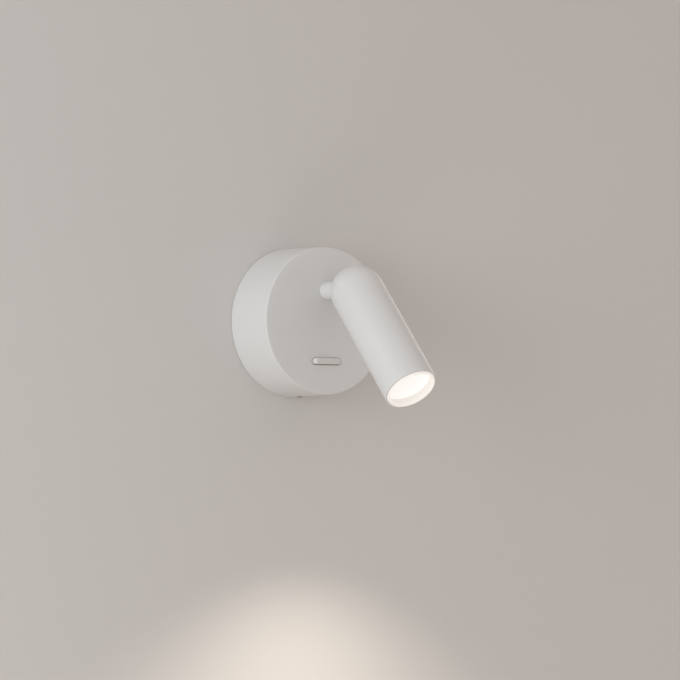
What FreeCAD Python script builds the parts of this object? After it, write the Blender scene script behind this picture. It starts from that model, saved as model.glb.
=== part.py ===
"""Wall reading spotlight: a round base on a wall bracket, a swivelling stem and a tilting LED head.

World frame, in millimetres: the origin is the centre of the base on the wall, X runs right along
the wall, Y runs into the wall and Z runs up, so the room is on the side of negative Y.
"""
import FreeCAD, Part
import math
import os
import re

import Sketcher

V = FreeCAD.Vector

# Driving dimensions, one table for each group of pieces. Lengths are millimetres, angles degrees.
BASE_SIZES = (
    ("base_diameter", 85.0),
    ("base_depth", 33.5),
    ("base_draft", 1.2),
    ("housing_wall", 1.6),
    ("face_thickness", 2.0),
    ("face_edge_radius", 0.6),
    ("inner_corner_radius", 1.2),
    ("rim_gap", 0.25),
    ("bracket_clearance", 0.3),
    ("bracket_thickness", 1.5),
    ("ear_width", 14.0),
    ("ear_reach", 11.5),
    ("bend_radius", 1.5),
    ("wall_slot_margin", 10.6),
    ("wall_slot_width", 4.5),
    ("wall_slot_travel", 4.0),
    ("cable_hole_diameter", 18.0),
    ("grommet_bore_diameter", 11.0),
    ("grommet_flange", 1.5),
    ("grommet_flange_thickness", 1.2),
    ("lock_screw_diameter", 3.0),
    ("lock_screw_length", 6.0),
    ("lock_screw_from_wall", 6.9),
    ("lock_screw_proud", 0.35),
    ("lock_hole_clearance", 0.1),
    ("lock_socket_across", 1.5),
    ("lock_socket_depth", 1.4),
)
TERMINAL_SIZES = (
    ("block_rim_gap", 15.6),
    ("pole_pitch", 8.0),
    ("pole_width", 6.6),
    ("block_width", 11.0),
    ("block_lug_length", 5.4),
    ("block_foot_height", 4.0),
    ("block_tower_height", 6.0),
    ("sleeve_diameter", 4.6),
    ("sleeve_bore_diameter", 3.0),
    ("sleeve_inset", 0.8),
    ("sleeve_from_wall", 7.0),
    ("clamp_screw_diameter", 3.0),
    ("clamp_screw_offset", 2.6),
    ("clamp_screw_recess", 0.6),
    ("block_screw_diameter", 2.5),
    ("block_screw_head_diameter", 4.6),
    ("block_screw_head_height", 1.6),
    ("earth_screw_x", 20.0),
    ("earth_screw_drop", 10.0),
    ("earth_screw_diameter", 4.0),
    ("earth_screw_head_diameter", 7.6),
    ("earth_screw_head_height", 2.6),
    ("earth_tag_diameter", 8.4),
    ("earth_tag_thickness", 0.8),
    ("earth_tag_tail", 7.0),
    ("earth_tag_tail_width", 2.6),
)
DRIVER_SIZES = (
    ("driver_width", 20.0),
    ("driver_depth", 15.5),
    ("driver_drop", 6.0),
    ("driver_wall", 1.2),
    ("driver_post_height", 3.0),
    ("driver_post_diameter", 6.0),
    ("driver_lug_clearance", 2.66),
    ("driver_lug_width", 8.0),
    ("driver_lug_thickness", 2.0),
    ("driver_screw_diameter", 2.6),
    ("driver_screw_length", 5.0),
    ("driver_screw_head_diameter", 5.0),
    ("driver_screw_head_height", 1.8),
    ("driver_hole_clearance", 0.2),
    ("driver_lead_hole_diameter", 6.4),
    ("driver_lead_hole_margin", 5.0),
    ("board_thickness", 1.2),
    ("board_clearance", 0.3),
    ("board_standoff", 1.0),
    ("transformer_length", 14.0),
    ("transformer_width", 12.0),
    ("transformer_height", 9.0),
    ("transformer_core_width", 5.0),
    ("transformer_x", 4.0),
    ("capacitor_diameter", 8.0),
    ("capacitor_height", 9.5),
    ("capacitor_x", 12.5),
    ("capacitor_spacing", 28.5),
    ("capacitor_edge_radius", 0.6),
)
SWITCH_SIZES = (
    ("switch_drop", 23.4),
    ("rocker_length", 20.0),
    ("rocker_width", 3.8),
    ("rocker_proud", 1.5),
    ("rocker_edge_radius", 0.5),
    ("rocker_throw", 8.0),
    ("rocker_end_clearance", 0.9),
    ("rocker_side_clearance", 0.25),
    ("rocker_skirt", 0.9),
    ("rocker_pivot_depth", 3.5),
    ("rocker_pin_diameter", 1.6),
    ("rocker_pin_clearance", 0.05),
    ("rocker_barrel_diameter", 3.6),
    ("rocker_barrel_length", 6.0),
    ("plunger_diameter", 2.0),
    ("plunger_head_diameter", 2.3),
    ("plunger_reach", 8.7),
    ("plunger_length", 4.4),
    ("plunger_play", 0.05),
    ("plunger_bore_depth", 4.5),
    ("spring_wire_diameter", 0.3),
    ("spring_turns", 5),
    ("switch_depth", 15.3),
    ("switch_wall", 1.2),
    ("switch_side_wall", 2.7),
    ("switch_floor", 1.5),
    ("switch_face_gap", 0.2),
    ("switch_flange_thickness", 1.5),
    ("switch_post_height", 3.0),
    ("switch_post_diameter", 4.6),
    ("switch_screw_spacing", 33.0),
    ("switch_screw_diameter", 2.0),
    ("switch_screw_head_diameter", 3.8),
    ("switch_screw_head_height", 1.4),
    ("switch_screw_length", 4.0),
    ("blade_length", 17.0),
    ("blade_width", 3.2),
    ("blade_thickness", 0.5),
    ("blade_throw", 4.0),
    ("blade_plunger_gap", 0.33),
    ("terminal_pitch", 7.4),
    ("terminal_width", 2.8),
    ("terminal_thickness", 0.8),
    ("terminal_tail", 4.5),
    ("contact_gap", 0.1),
    ("contact_diameter", 2.4),
    ("contact_height", 0.6),
)
SWIVEL_SIZES = (
    ("stem_height", 17.2),
    ("stem_diameter", 10.5),
    ("stem_bore_diameter", 6.0),
    ("stem_edge_radius", 0.3),
    ("pivot_reach", 61.0),
    ("swivel_play", 0.05),
    ("tail_diameter", 8.0),
    ("tail_length", 10.5),
    ("tail_flat_depth", 0.6),
    ("bush_wall", 0.8),
    ("bush_flange_width", 3.0),
    ("bush_flange_thickness", 1.0),
    ("stop_washer_diameter", 16.0),
    ("stop_washer_thickness", 1.0),
    ("stop_tab_width", 1.6),
    ("stop_tab_reach", 12.2),
    ("stop_pin_diameter", 1.6),
    ("stop_pin_radius", 11.4),
    ("stop_pin_proud", 2.6),
    ("stop_pin_depth", 1.2),
    ("disc_spring_diameter", 15.0),
    ("disc_spring_thickness", 0.5),
    ("disc_spring_height", 1.2),
    ("nut_across_flats", 13.0),
    ("nut_thickness", 4.0),
)
KNUCKLE_SIZES = (
    ("knuckle_width", 9.0),
    ("knuckle_flat_length", 6.5),
    ("knuckle_bore_diameter", 4.4),
    ("knuckle_bore_length", 7.0),
    ("wire_window_margin", 2.0),
    ("pivot_screw_diameter", 3.0),
    ("pivot_screw_head_diameter", 5.4),
    ("pivot_screw_head_height", 1.7),
    ("pivot_socket_across", 2.0),
    ("pivot_socket_depth", 1.0),
    ("friction_washer_diameter", 8.6),
    ("friction_washer_thickness", 0.5),
    ("pivot_play", 0.05),
    ("yoke_cheek_thickness", 1.5),
    ("yoke_cheek_radius", 5.0),
    ("yoke_flange_diameter", 25.4),
    ("yoke_flange_thickness", 1.5),
    ("yoke_screw_diameter", 2.5),
    ("yoke_screw_head_diameter", 4.4),
    ("yoke_screw_head_height", 1.5),
    ("yoke_screw_length", 8.0),
    ("yoke_screw_radius", 6.2),
    ("yoke_hole_clearance", 0.1),
)
HEAD_SIZES = (
    ("head_diameter", 30.5),
    ("head_length", 74.0),
    ("head_tilt", 41.0),
    ("pivot_setback", 2.8),
    ("head_bore_wall", 1.0),
    ("head_rear_wall", 2.0),
    ("head_shoulder", 15.0),
    ("head_edge_radius", 0.3),
    ("slot_clearance", 0.35),
    ("cartridge_clearance", 0.15),
    ("heat_sink_core_diameter", 18.0),
    ("heat_sink_seat_thickness", 4.0),
    ("fin_thickness", 1.0),
    ("fin_count", 14),
    ("wire_notch_width", 4.2),
    ("wire_notch_from_axis", 10.2),
    ("thermal_pad_diameter", 18.0),
    ("thermal_pad_thickness", 0.3),
    ("led_board_diameter", 25.4),
    ("led_board_thickness", 1.2),
    ("led_screw_diameter", 2.0),
    ("led_screw_head_diameter", 3.8),
    ("led_screw_head_height", 1.2),
    ("led_screw_length", 5.0),
    ("led_screw_radius", 10.3),
    ("emitter_width", 9.0),
    ("emitter_thickness", 0.7),
    ("phosphor_diameter", 7.2),
    ("phosphor_thickness", 0.25),
    ("reflector_throat_diameter", 13.4),
    ("reflector_mouth_diameter", 24.8),
    ("reflector_wall", 0.9),
    ("reflector_length", 16.4),
    ("reflector_curve_radius", 34.0),
    ("reflector_rim_thickness", 1.3),
    ("diffuser_thickness", 1.6),
    ("ring_length", 5.0),
    ("ring_wall", 1.1),
    ("ring_flange_thickness", 0.8),
    ("ring_flange_inset", 0.1),
    ("ring_edge_radius", 0.3),
    ("ring_lip_radius", 0.8),
)
LEAD_SIZES = (
    ("lead_diameter", 1.6),
    ("lead_pitch", 2.0),
    ("lead_gap", 0.85),
    ("lead_entry", 5.2),
)
SIZES = (BASE_SIZES + TERMINAL_SIZES + DRIVER_SIZES + SWITCH_SIZES + SWIVEL_SIZES
         + KNUCKLE_SIZES + HEAD_SIZES + LEAD_SIZES)

# Places that follow from the sizes. Heights over the wall are written from_wall.
PLACES = {
    "base_radius": "base_diameter / 2",
    "housing_bore": "base_radius - housing_wall",
    "face_inside": "base_depth - face_thickness",
    "bracket_radius": "housing_bore - bracket_clearance",
    "ear_outside": "sqrt(bracket_radius * bracket_radius - ear_width * ear_width / 4)",
    "ear_inside": "ear_outside - bracket_thickness",
    "lock_screw_top": "base_radius + base_draft * (1 - lock_screw_from_wall / base_depth)"
                      " + lock_screw_proud",
    "wall_screw_spacing": "2 * (bracket_radius - wall_slot_margin)",
    "block_height": "bracket_radius - block_rim_gap",
    "lead_floor": "bracket_thickness + grommet_flange_thickness + lead_diameter / 2",
    "block_top": "bracket_thickness + block_foot_height + block_tower_height",
    "block_bottom_edge": "block_height - block_width / 2",
    "block_length": "2 * pole_pitch + pole_width + 2 * block_lug_length",
    "block_screw_x": "pole_pitch + pole_width / 2 + block_lug_length / 2",
    "driver_front": "face_inside - driver_post_height",
    "driver_back": "driver_front - driver_depth",
    "driver_lug_reach": "sqrt(housing_bore * housing_bore - (driver_drop + driver_lug_width / 2)"
                        " * (driver_drop + driver_lug_width / 2)) - driver_lug_clearance",
    "driver_screw_spacing": "2 * driver_lug_reach - driver_lug_width",
    "driver_length": "driver_screw_spacing - driver_lug_width",
    "driver_lead_hole_spacing": "driver_length - 2 * driver_lead_hole_margin",
    "board_front": "driver_front - driver_wall - board_standoff",
    "board_back": "board_front - board_thickness",
    "rocker_pivot": "base_depth - rocker_pivot_depth",
    "switch_front": "face_inside - switch_face_gap",
    "switch_back": "switch_front - switch_depth",
    "switch_seat": "face_inside - switch_post_height",
    "cavity_length": "rocker_length + 2 * rocker_end_clearance",
    "cavity_width": "rocker_width + 2 * rocker_side_clearance",
    "blade_pivot": "rocker_pivot - plunger_reach - blade_plunger_gap - blade_thickness",
    "bush_radius": "tail_diameter / 2 + swivel_play + bush_wall",
    "stop_washer_front": "face_inside - bush_flange_thickness",
    "stop_washer_back": "stop_washer_front - stop_washer_thickness",
    "nut_front": "stop_washer_back - disc_spring_height",
    "nut_back": "nut_front - nut_thickness",
    "stem_root": "base_depth + swivel_play",
    "tail_end": "base_depth - tail_length",
    "stem_radius": "stem_diameter / 2",
    "knuckle_side": "knuckle_width / 2",
    "cheek_inside": "knuckle_side + friction_washer_thickness + pivot_play",
    "cheek_outside": "cheek_inside + yoke_cheek_thickness",
    "head_radius": "head_diameter / 2",
    "head_bore": "head_radius - head_bore_wall",
    "head_rear_bore": "head_radius - head_rear_wall",
    "slot_half": "stem_radius + slot_clearance",
    "cartridge_radius": "head_bore - cartridge_clearance",
    "shell_front": "head_length - ring_flange_thickness",
    "diffuser_front": "head_length - ring_length",
    "reflector_front": "diffuser_front - diffuser_thickness",
    "led_board_front": "reflector_front - reflector_length",
    "led_board_back": "led_board_front - led_board_thickness",
    "heat_sink_front": "led_board_back - thermal_pad_thickness",
    "heat_sink_length": "heat_sink_front - head_shoulder",
    "ring_bore": "cartridge_radius - ring_wall",
}

doc = FreeCAD.newDocument("wall_spotlight")
sheet = doc.addObject("Spreadsheet::Sheet", "sizes")
for row, (alias, number) in enumerate(SIZES, start=1):
    sheet.set(f"A{row}", alias)
    sheet.set(f"B{row}", str(number))
    sheet.setAlias(f"B{row}", alias)
doc.recompute()

ALIASES = {alias for alias, number in SIZES}
pieces = []


def formula(text):
    """Return text as an expression in which every size is named with its sheet."""
    def expand(word):
        name = word.group()
        if name in ALIASES:
            return f"sizes.{name}"
        if name in PLACES:
            return f"({formula(PLACES[name])})"
        return name
    return re.sub(r"[a-z_]+", expand, text)


def value(text):
    """Return what a formula comes to."""
    return float(sheet.evalExpression(formula(text)))


# Frames in which pieces are drawn: where the origin is, the axis turned about and the turn.
# In the wall and stem frames x is right, y is up and z comes out of the wall. In the head frame
# z runs forward along the light's axis from the centre of the rounded end, and the wall side is
# at negative y. The rocker and blade frames are turned about the upright pin of each.
WALL = (("0", "0", "0"), V(1, 0, 0), "90")
STEM = (("0", "0", "stem_height"), V(1, 0, 0), "90")
HEAD = (("0", "-pivot_reach - pivot_setback * sin(head_tilt)",
         "stem_height - pivot_setback * cos(head_tilt)"), V(1, 0, 0), "180 - head_tilt")
ROCKER = (("0", "-rocker_pivot", "-switch_drop"), V(0, 0, 1), "rocker_throw")
BLADE = (("0", "-blade_pivot", "-switch_drop"), V(0, 0, 1), "-blade_throw")


def place(piece, frame):
    """Put a piece in its frame."""
    origin, axis, turn = frame
    piece.Placement = FreeCAD.Placement(V(0, 0, 0), FreeCAD.Rotation(axis, value(turn)))
    for letter, text in zip("xyz", origin):
        piece.setExpression(f"Placement.Base.{letter}", formula(text))
    piece.setExpression("Placement.Rotation.Angle", formula(turn))


def new_body(label, frame):
    """Start a piece as a body in one of the frames."""
    body = doc.addObject("PartDesign::Body", label)
    body.Label = label
    place(body, frame)
    pieces.append(body)
    return body


def origin_feature(body, role):
    """Return one of the planes or axes of a body's origin."""
    return next(item for item in body.Origin.OriginFeatures if item.Role == role)


def new_sketch(body, plane, lift="0", shift=("0", "0")):
    """Start a sketch on an origin plane of the body, lifted and shifted from it."""
    sketch = body.newObject("Sketcher::SketchObject", f"{body.Name}_sketch")
    sketch.AttachmentSupport = [(origin_feature(body, plane), "")]
    sketch.MapMode = "FlatFace"
    for letter, text in zip("xyz", (*shift, lift)):
        if text != "0":
            sketch.setExpression(f"AttachmentOffset.Base.{letter}", formula(text))
    return sketch


def pin_point(sketch, geometry, end, x, y):
    """Tie one point of a sketch to two formulas, measured from the sketch's origin."""
    for kind, axis, text in (("DistanceX", -2, x), ("DistanceY", -1, y)):
        if text == "0":
            sketch.addConstraint(Sketcher.Constraint("PointOnObject", geometry, end, axis))
            continue
        tie = Sketcher.Constraint(kind, -1, 1, geometry, end, value(text))
        index = sketch.addConstraint(tie)
        sketch.setExpression(f"Constraints[{index}]", formula(text))


def draw_circle(sketch, x, y, radius):
    """Draw a circle tied to its centre and radius."""
    circle = Part.Circle(V(value(x), value(y), 0), V(0, 0, 1), value(radius))
    index = sketch.addGeometry(circle)
    pin_point(sketch, index, 3, x, y)
    tie = sketch.addConstraint(Sketcher.Constraint("Radius", index, value(radius)))
    sketch.setExpression(f"Constraints[{tie}]", formula(radius))


def draw_outline(sketch, corners):
    """Draw a closed outline. A corner is (x, y), or (x, y, radius, side) where an arc that bulges
    to the left or right of the way round runs on to the next corner."""
    spots = [V(value(corner[0]), value(corner[1]), 0) for corner in corners]
    runs = []
    for number, corner in enumerate(corners):
        start = spots[number]
        finish = spots[(number + 1) % len(spots)]
        if len(corner) == 2:
            runs.append((sketch.addGeometry(Part.LineSegment(start, finish)), 1, 2))
            continue
        radius = value(corner[2])
        chord = finish - start
        aside = V(chord.y, -chord.x, 0).normalize()
        if corner[3] == "left":
            aside = aside * -1
        rise = math.sqrt(max(radius ** 2 - chord.Length ** 2 / 4, 0))
        peak = (start + finish) * 0.5 + aside * (radius - rise)
        if corner[3] == "left":
            index = sketch.addGeometry(Part.Arc(finish, peak, start))
            runs.append((index, 2, 1))
        else:
            index = sketch.addGeometry(Part.Arc(start, peak, finish))
            runs.append((index, 1, 2))
        tie = sketch.addConstraint(Sketcher.Constraint("Radius", index, radius))
        sketch.setExpression(f"Constraints[{tie}]", formula(corner[2]))
    for number, (index, first, last) in enumerate(runs):
        following = runs[(number + 1) % len(runs)]
        sketch.addConstraint(Sketcher.Constraint("Coincident", index, last, *following[:2]))
        pin_point(sketch, index, first, corners[number][0], corners[number][1])


def box_corners(x, y, width, height):
    """Return the corners of a rectangle centred on x, y."""
    left, right = f"{x} - ({width}) / 2", f"{x} + ({width}) / 2"
    low, high = f"{y} - ({height}) / 2", f"{y} + ({height}) / 2"
    return [(left, low), (right, low), (right, high), (left, high)]


def slot_corners(x, y, length, width):
    """Return the outline of a bar with round ends, centred on x, y and long in x."""
    half = f"({width}) / 2"
    left, right = f"{x} - (({length}) / 2 - {half})", f"{x} + (({length}) / 2 - {half})"
    return [(left, f"{y} - {half}"),
            (right, f"{y} - {half}", half, "right"),
            (f"{right} + {half}", y, half, "right"),
            (right, f"{y} + {half}"),
            (left, f"{y} + {half}", half, "right"),
            (f"{left} - {half}", y, half, "right")]


def add_feature(sketch, kind, length=None, both=False, reverse=False):
    """Pad or pocket a sketch, right through when no length is given."""
    body = sketch.getParentGeoFeatureGroup()
    feature = body.newObject(f"PartDesign::{kind}", f"{body.Name}_{kind.lower()}")
    feature.Profile = sketch
    if length is None:
        feature.Type = "ThroughAll"
    else:
        feature.setExpression("Length", formula(length))
    if both:
        feature.SideType = "Symmetric"
    feature.Reversed = reverse
    return feature


def pad(sketch, length, both=False, reverse=False):
    """Raise a sketch into a solid."""
    return add_feature(sketch, "Pad", length, both, reverse)


def pocket(sketch, length=None, both=False, reverse=False):
    """Cut a sketch out of the body. Forward, along the sketch's normal, is reverse=True."""
    return add_feature(sketch, "Pocket", length, both, reverse)


def spin(sketch, axis="V_Axis"):
    """Turn a sketch about one of its own axes into a solid."""
    body = sketch.getParentGeoFeatureGroup()
    feature = body.newObject("PartDesign::Revolution", f"{body.Name}_turned")
    feature.Profile = sketch
    feature.ReferenceAxis = (sketch, [axis])
    return feature


def round_about(body, features, count):
    """Repeat features evenly round the body's z axis."""
    pattern = body.newObject("PartDesign::PolarPattern", f"{body.Name}_ring")
    pattern.Originals = features
    pattern.Axis = (origin_feature(body, "Z_Axis"), [""])
    pattern.Angle = 360
    pattern.setExpression("Occurrences", formula(count))
    body.Tip = pattern


def in_row(body, features, count, span):
    """Repeat features in a row along the body's x axis."""
    pattern = body.newObject("PartDesign::LinearPattern", f"{body.Name}_row")
    pattern.Originals = features
    pattern.Direction = (origin_feature(body, "X_Axis"), [""])
    pattern.Occurrences = count
    pattern.setExpression("Length", formula(span))
    body.Tip = pattern


def mirror(body, features, plane="YZ_Plane"):
    """Repeat features on the other side of an origin plane."""
    copy = body.newObject("PartDesign::Mirrored", f"{body.Name}_mirrored")
    copy.Originals = features
    copy.MirrorPlane = (origin_feature(body, plane), [""])
    body.Tip = copy


def hexagon(sketch, across):
    """Draw a hexagon of a width across flats about the sketch's origin."""
    draw_outline(sketch, [(f"{across} / sqrt(3) * cos({60 * turn})",
                           f"{across} / sqrt(3) * sin({60 * turn})") for turn in range(6)])


def turned(label, frame, corners, plane="XZ_Plane", shift=("0", "0"), axis="V_Axis"):
    """Make a piece by turning one outline. Return its body and its feature."""
    body = new_body(label, frame)
    sketch = new_sketch(body, plane, shift=shift)
    draw_outline(sketch, corners)
    return body, spin(sketch, axis)


def plate(label, frame, corners, lift, thickness):
    """Make a flat piece from one outline. Return its body."""
    body = new_body(label, frame)
    sketch = new_sketch(body, "XY_Plane", lift)
    draw_outline(sketch, corners)
    pad(sketch, thickness)
    return body


def drill(body, spots, radius, lift="0", depth=None, plane="XY_Plane", forward=False):
    """Cut round holes at the spots, right through or to a depth."""
    sketch = new_sketch(body, plane, lift)
    for x, y in spots:
        draw_circle(sketch, x, y, radius)
    return pocket(sketch, depth, reverse=forward)


def make_wall_bracket():
    """Steel plate on the wall, with a bent ear at the top and the bottom that holds the housing."""
    body = new_body("wall_bracket", WALL)
    disc = new_sketch(body, "XY_Plane")
    draw_circle(disc, "0", "0", "bracket_radius")
    pad(disc, "bracket_thickness")
    bend_start = "ear_inside - bend_radius"
    bend_height = "bracket_thickness + bend_radius"
    relief = new_sketch(body, "XY_Plane")
    draw_outline(relief, [("-ear_width / 2 - bracket_thickness", bend_start),
                          ("ear_width / 2 + bracket_thickness", bend_start),
                          ("ear_width / 2 + bracket_thickness", "base_radius"),
                          ("-ear_width / 2 - bracket_thickness", "base_radius")])
    notch = pocket(relief, reverse=True)
    profile = new_sketch(body, "YZ_Plane")
    draw_outline(profile, [(bend_start, "0", bend_height, "right"),
                           ("ear_outside", bend_height),
                           ("ear_outside", "ear_reach"),
                           ("ear_inside", "ear_reach"),
                           ("ear_inside", bend_height, "bend_radius", "left"),
                           (bend_start, "bracket_thickness")])
    ear = pad(profile, "ear_width", both=True)
    mirror(body, [notch, ear], "XZ_Plane")
    drill(body, [("0", "lock_screw_from_wall")], "lock_screw_diameter / 2",
          plane="XZ_Plane").SideType = "Symmetric"
    slots = new_sketch(body, "XY_Plane")
    for side in ("-", ""):
        draw_outline(slots, slot_corners(f"{side}wall_screw_spacing / 2", "0",
                                         "wall_slot_travel + wall_slot_width", "wall_slot_width"))
    pocket(slots, reverse=True)
    drill(body, [("0", "0")], "cable_hole_diameter / 2", forward=True)
    drill(body, [("-block_screw_x", "block_height"), ("block_screw_x", "block_height")],
          "block_screw_diameter / 2", forward=True)
    drill(body, [("earth_screw_x", "-earth_screw_drop")], "earth_screw_diameter / 2",
          forward=True)


def make_cable_grommet():
    """Rubber bush in the cable hole, flush with the back of the bracket."""
    bore = "grommet_bore_diameter / 2"
    hole = "cable_hole_diameter / 2"
    top = "bracket_thickness + grommet_flange_thickness"
    turned("cable_grommet", WALL, [(bore, "0"), (hole, "0"), (hole, "bracket_thickness"),
                                   (f"{hole} + grommet_flange", "bracket_thickness"),
                                   (f"{hole} + grommet_flange", top), (bore, top)])


def make_housing():
    """Round white housing: a deep cup whose flat front carries the stem and the switch."""
    body, cup = turned("base_housing", WALL, [
        ("housing_bore", "rim_gap"),
        ("base_radius + base_draft", "rim_gap"),
        ("base_radius", "base_depth - face_edge_radius", "face_edge_radius", "right"),
        ("base_radius - face_edge_radius", "base_depth"),
        ("0", "base_depth"),
        ("0", "face_inside"),
        ("housing_bore - inner_corner_radius", "face_inside", "inner_corner_radius", "left"),
        ("housing_bore", "face_inside - inner_corner_radius")])
    driver_posts = [("-driver_screw_spacing / 2", "-driver_drop"),
                    ("driver_screw_spacing / 2", "-driver_drop")]
    switch_posts = [("-switch_screw_spacing / 2", "-switch_drop"),
                    ("switch_screw_spacing / 2", "-switch_drop")]
    for spots, post, screw in ((driver_posts, "driver_post", "driver_screw"),
                               (switch_posts, "switch_post", "switch_screw")):
        rounds = new_sketch(body, "XY_Plane", "face_inside")
        for x, y in spots:
            draw_circle(rounds, x, y, f"{post}_diameter / 2")
        pad(rounds, f"{post}_height", reverse=True)
        drill(body, spots, f"{screw}_diameter / 2", f"face_inside - {post}_height",
              f"{post}_height", forward=True)
    drill(body, [("0", "stem_height")], "bush_radius", "face_inside", forward=True)
    drill(body, [("0", "stem_height + stop_pin_radius")], "stop_pin_diameter / 2", "face_inside",
          "stop_pin_depth", forward=True)
    opening = new_sketch(body, "XY_Plane", "face_inside")
    draw_outline(opening, slot_corners("0", "-switch_drop", "cavity_length", "cavity_width"))
    pocket(opening, reverse=True)
    drill(body, [("0", "lock_screw_from_wall")], "lock_screw_diameter / 2 + lock_hole_clearance",
          plane="XZ_Plane").SideType = "Symmetric"


def make_lock_screws():
    """Two socket set screws in the ears, backed out through the housing's holes to lock it."""
    radius = "lock_screw_diameter / 2"
    body, screw = turned("housing_lock_screws", WALL, [
        ("-lock_screw_top", "0"),
        ("lock_screw_length - lock_screw_top", "0"),
        ("lock_screw_length - lock_screw_top", radius),
        ("-lock_screw_top", radius)], plane="YZ_Plane", shift=("0", "lock_screw_from_wall"),
        axis="H_Axis")
    socket = new_sketch(body, "XZ_Plane", "lock_screw_top", ("0", "lock_screw_from_wall"))
    hexagon(socket, "lock_socket_across")
    round_about(body, [screw, pocket(socket, "lock_socket_depth")], "2")


def make_terminal_block():
    """Three-pole screw terminal block on the bracket, for the supply cable."""
    body = new_body("terminal_block", WALL)
    foot = new_sketch(body, "XY_Plane", "bracket_thickness")
    draw_outline(foot, box_corners("0", "block_height", "block_length", "block_width"))
    pad(foot, "block_foot_height")
    towers = new_sketch(body, "XY_Plane", "bracket_thickness")
    for x in POLES:
        draw_outline(towers, box_corners(x, "block_height", "pole_width", "block_width"))
    pad(towers, "block_foot_height + block_tower_height")
    bores = drill(body, [(x, "sleeve_from_wall") for x in POLES], "sleeve_diameter / 2",
                  plane="XZ_Plane")
    bores.SideType = "Symmetric"
    drill(body, [(x, y) for x in POLES for y in CLAMPS], "clamp_screw_diameter / 2",
          "sleeve_from_wall", forward=True)
    drill(body, [("-block_screw_x", "block_height"), ("block_screw_x", "block_height")],
          "block_screw_diameter / 2", "bracket_thickness", forward=True)


def make_terminal_sleeves():
    """Brass sleeves in the block, each drilled for its two clamp screws."""
    near = "block_bottom_edge + sleeve_inset"
    far = "block_bottom_edge + block_width - sleeve_inset"
    body = new_body("terminal_sleeves", WALL)
    profile = new_sketch(body, "YZ_Plane", "-pole_pitch", ("0", "sleeve_from_wall"))
    draw_outline(profile, [(near, "sleeve_bore_diameter / 2"), (far, "sleeve_bore_diameter / 2"),
                           (far, "sleeve_diameter / 2"), (near, "sleeve_diameter / 2")])
    sleeve = spin(profile, "H_Axis")
    holes = drill(body, [("-pole_pitch", y) for y in CLAMPS], "clamp_screw_diameter / 2",
                  "sleeve_from_wall", forward=True)
    in_row(body, [sleeve, holes], 3, "2 * pole_pitch")


def make_clamp_screws():
    """Clamp screws of the sleeves: the lower row stands on the leads, the upper row is open."""
    body = new_body("terminal_clamp_screws", WALL)
    ends = ("sleeve_from_wall + lead_diameter / 2", "sleeve_from_wall + sleeve_bore_diameter / 2")
    screws = []
    for y, low in zip(CLAMPS, ends):
        profile = new_sketch(body, "XZ_Plane", f"-({y})", ("-pole_pitch", "0"))
        draw_outline(profile, [("0", low), ("clamp_screw_diameter / 2", low),
                               ("clamp_screw_diameter / 2", "block_top - clamp_screw_recess"),
                               ("0", "block_top - clamp_screw_recess")])
        screws.append(spin(profile))
    in_row(body, screws, 3, "2 * pole_pitch")


def make_block_screws():
    """Two screws through the lugs of the terminal block into the bracket."""
    seat = "bracket_thickness + block_foot_height"
    head = "block_screw_head_diameter / 2"
    body = new_body("terminal_block_screws", WALL)
    profile = new_sketch(body, "XZ_Plane", "-block_height", ("block_screw_x", "0"))
    draw_outline(profile, [("0", "0"), ("block_screw_diameter / 2", "0"),
                           ("block_screw_diameter / 2", seat), (head, seat),
                           (head, f"{seat} + block_screw_head_height"),
                           ("0", f"{seat} + block_screw_head_height")])
    mirror(body, [spin(profile)])


def make_earth_screw():
    """Pan head screw that clamps the earth tag to the bracket."""
    seat = "bracket_thickness + earth_tag_thickness"
    head = "earth_screw_head_diameter / 2"
    top = f"{seat} + earth_screw_head_height"
    body = new_body("earth_screw", WALL)
    profile = new_sketch(body, "XZ_Plane", "earth_screw_drop", ("earth_screw_x", "0"))
    draw_outline(profile, [("0", "0"), ("earth_screw_diameter / 2", "0"),
                           ("earth_screw_diameter / 2", seat), (head, seat),
                           (head, f"{top} - earth_screw_head_height / 2"),
                           (f"{head} * 2 / 3", top), ("0", top)])
    spin(profile)


def make_earth_tag():
    """Ring tag under the earth screw, with a tail for the lead."""
    body = new_body("earth_tag", WALL)
    ring = new_sketch(body, "XY_Plane", "bracket_thickness")
    draw_circle(ring, "earth_screw_x", "-earth_screw_drop", "earth_tag_diameter / 2")
    pad(ring, "earth_tag_thickness")
    tail = new_sketch(body, "XY_Plane", "bracket_thickness")
    draw_outline(tail, box_corners("earth_screw_x", "earth_tag_tail / 2 - earth_screw_drop",
                                   "earth_tag_tail_width", "earth_tag_tail"))
    pad(tail, "earth_tag_thickness")
    drill(body, [("earth_screw_x", "-earth_screw_drop")], "earth_screw_diameter / 2",
          "bracket_thickness", forward=True)


def make_driver_case():
    """Plastic case of the LED driver, open to the wall side, with a screw lug at each end."""
    body = new_body("driver_case", WALL)
    outside = new_sketch(body, "XY_Plane", "driver_front")
    draw_outline(outside, box_corners("0", "-driver_drop", "driver_length", "driver_width"))
    pad(outside, "driver_depth - driver_wall", reverse=True)
    lugs = new_sketch(body, "XY_Plane", "driver_front")
    draw_outline(lugs, slot_corners("0", "-driver_drop", "driver_screw_spacing + driver_lug_width",
                                    "driver_lug_width"))
    pad(lugs, "driver_lug_thickness", reverse=True)
    inside = new_sketch(body, "XY_Plane", "driver_front - driver_wall")
    draw_outline(inside, box_corners("0", "-driver_drop", "driver_length - 2 * driver_wall",
                                     "driver_width - 2 * driver_wall"))
    pocket(inside)
    drill(body, [("-driver_screw_spacing / 2", "-driver_drop"),
                 ("driver_screw_spacing / 2", "-driver_drop")],
          "driver_screw_diameter / 2 + driver_hole_clearance", "driver_front")


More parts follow.
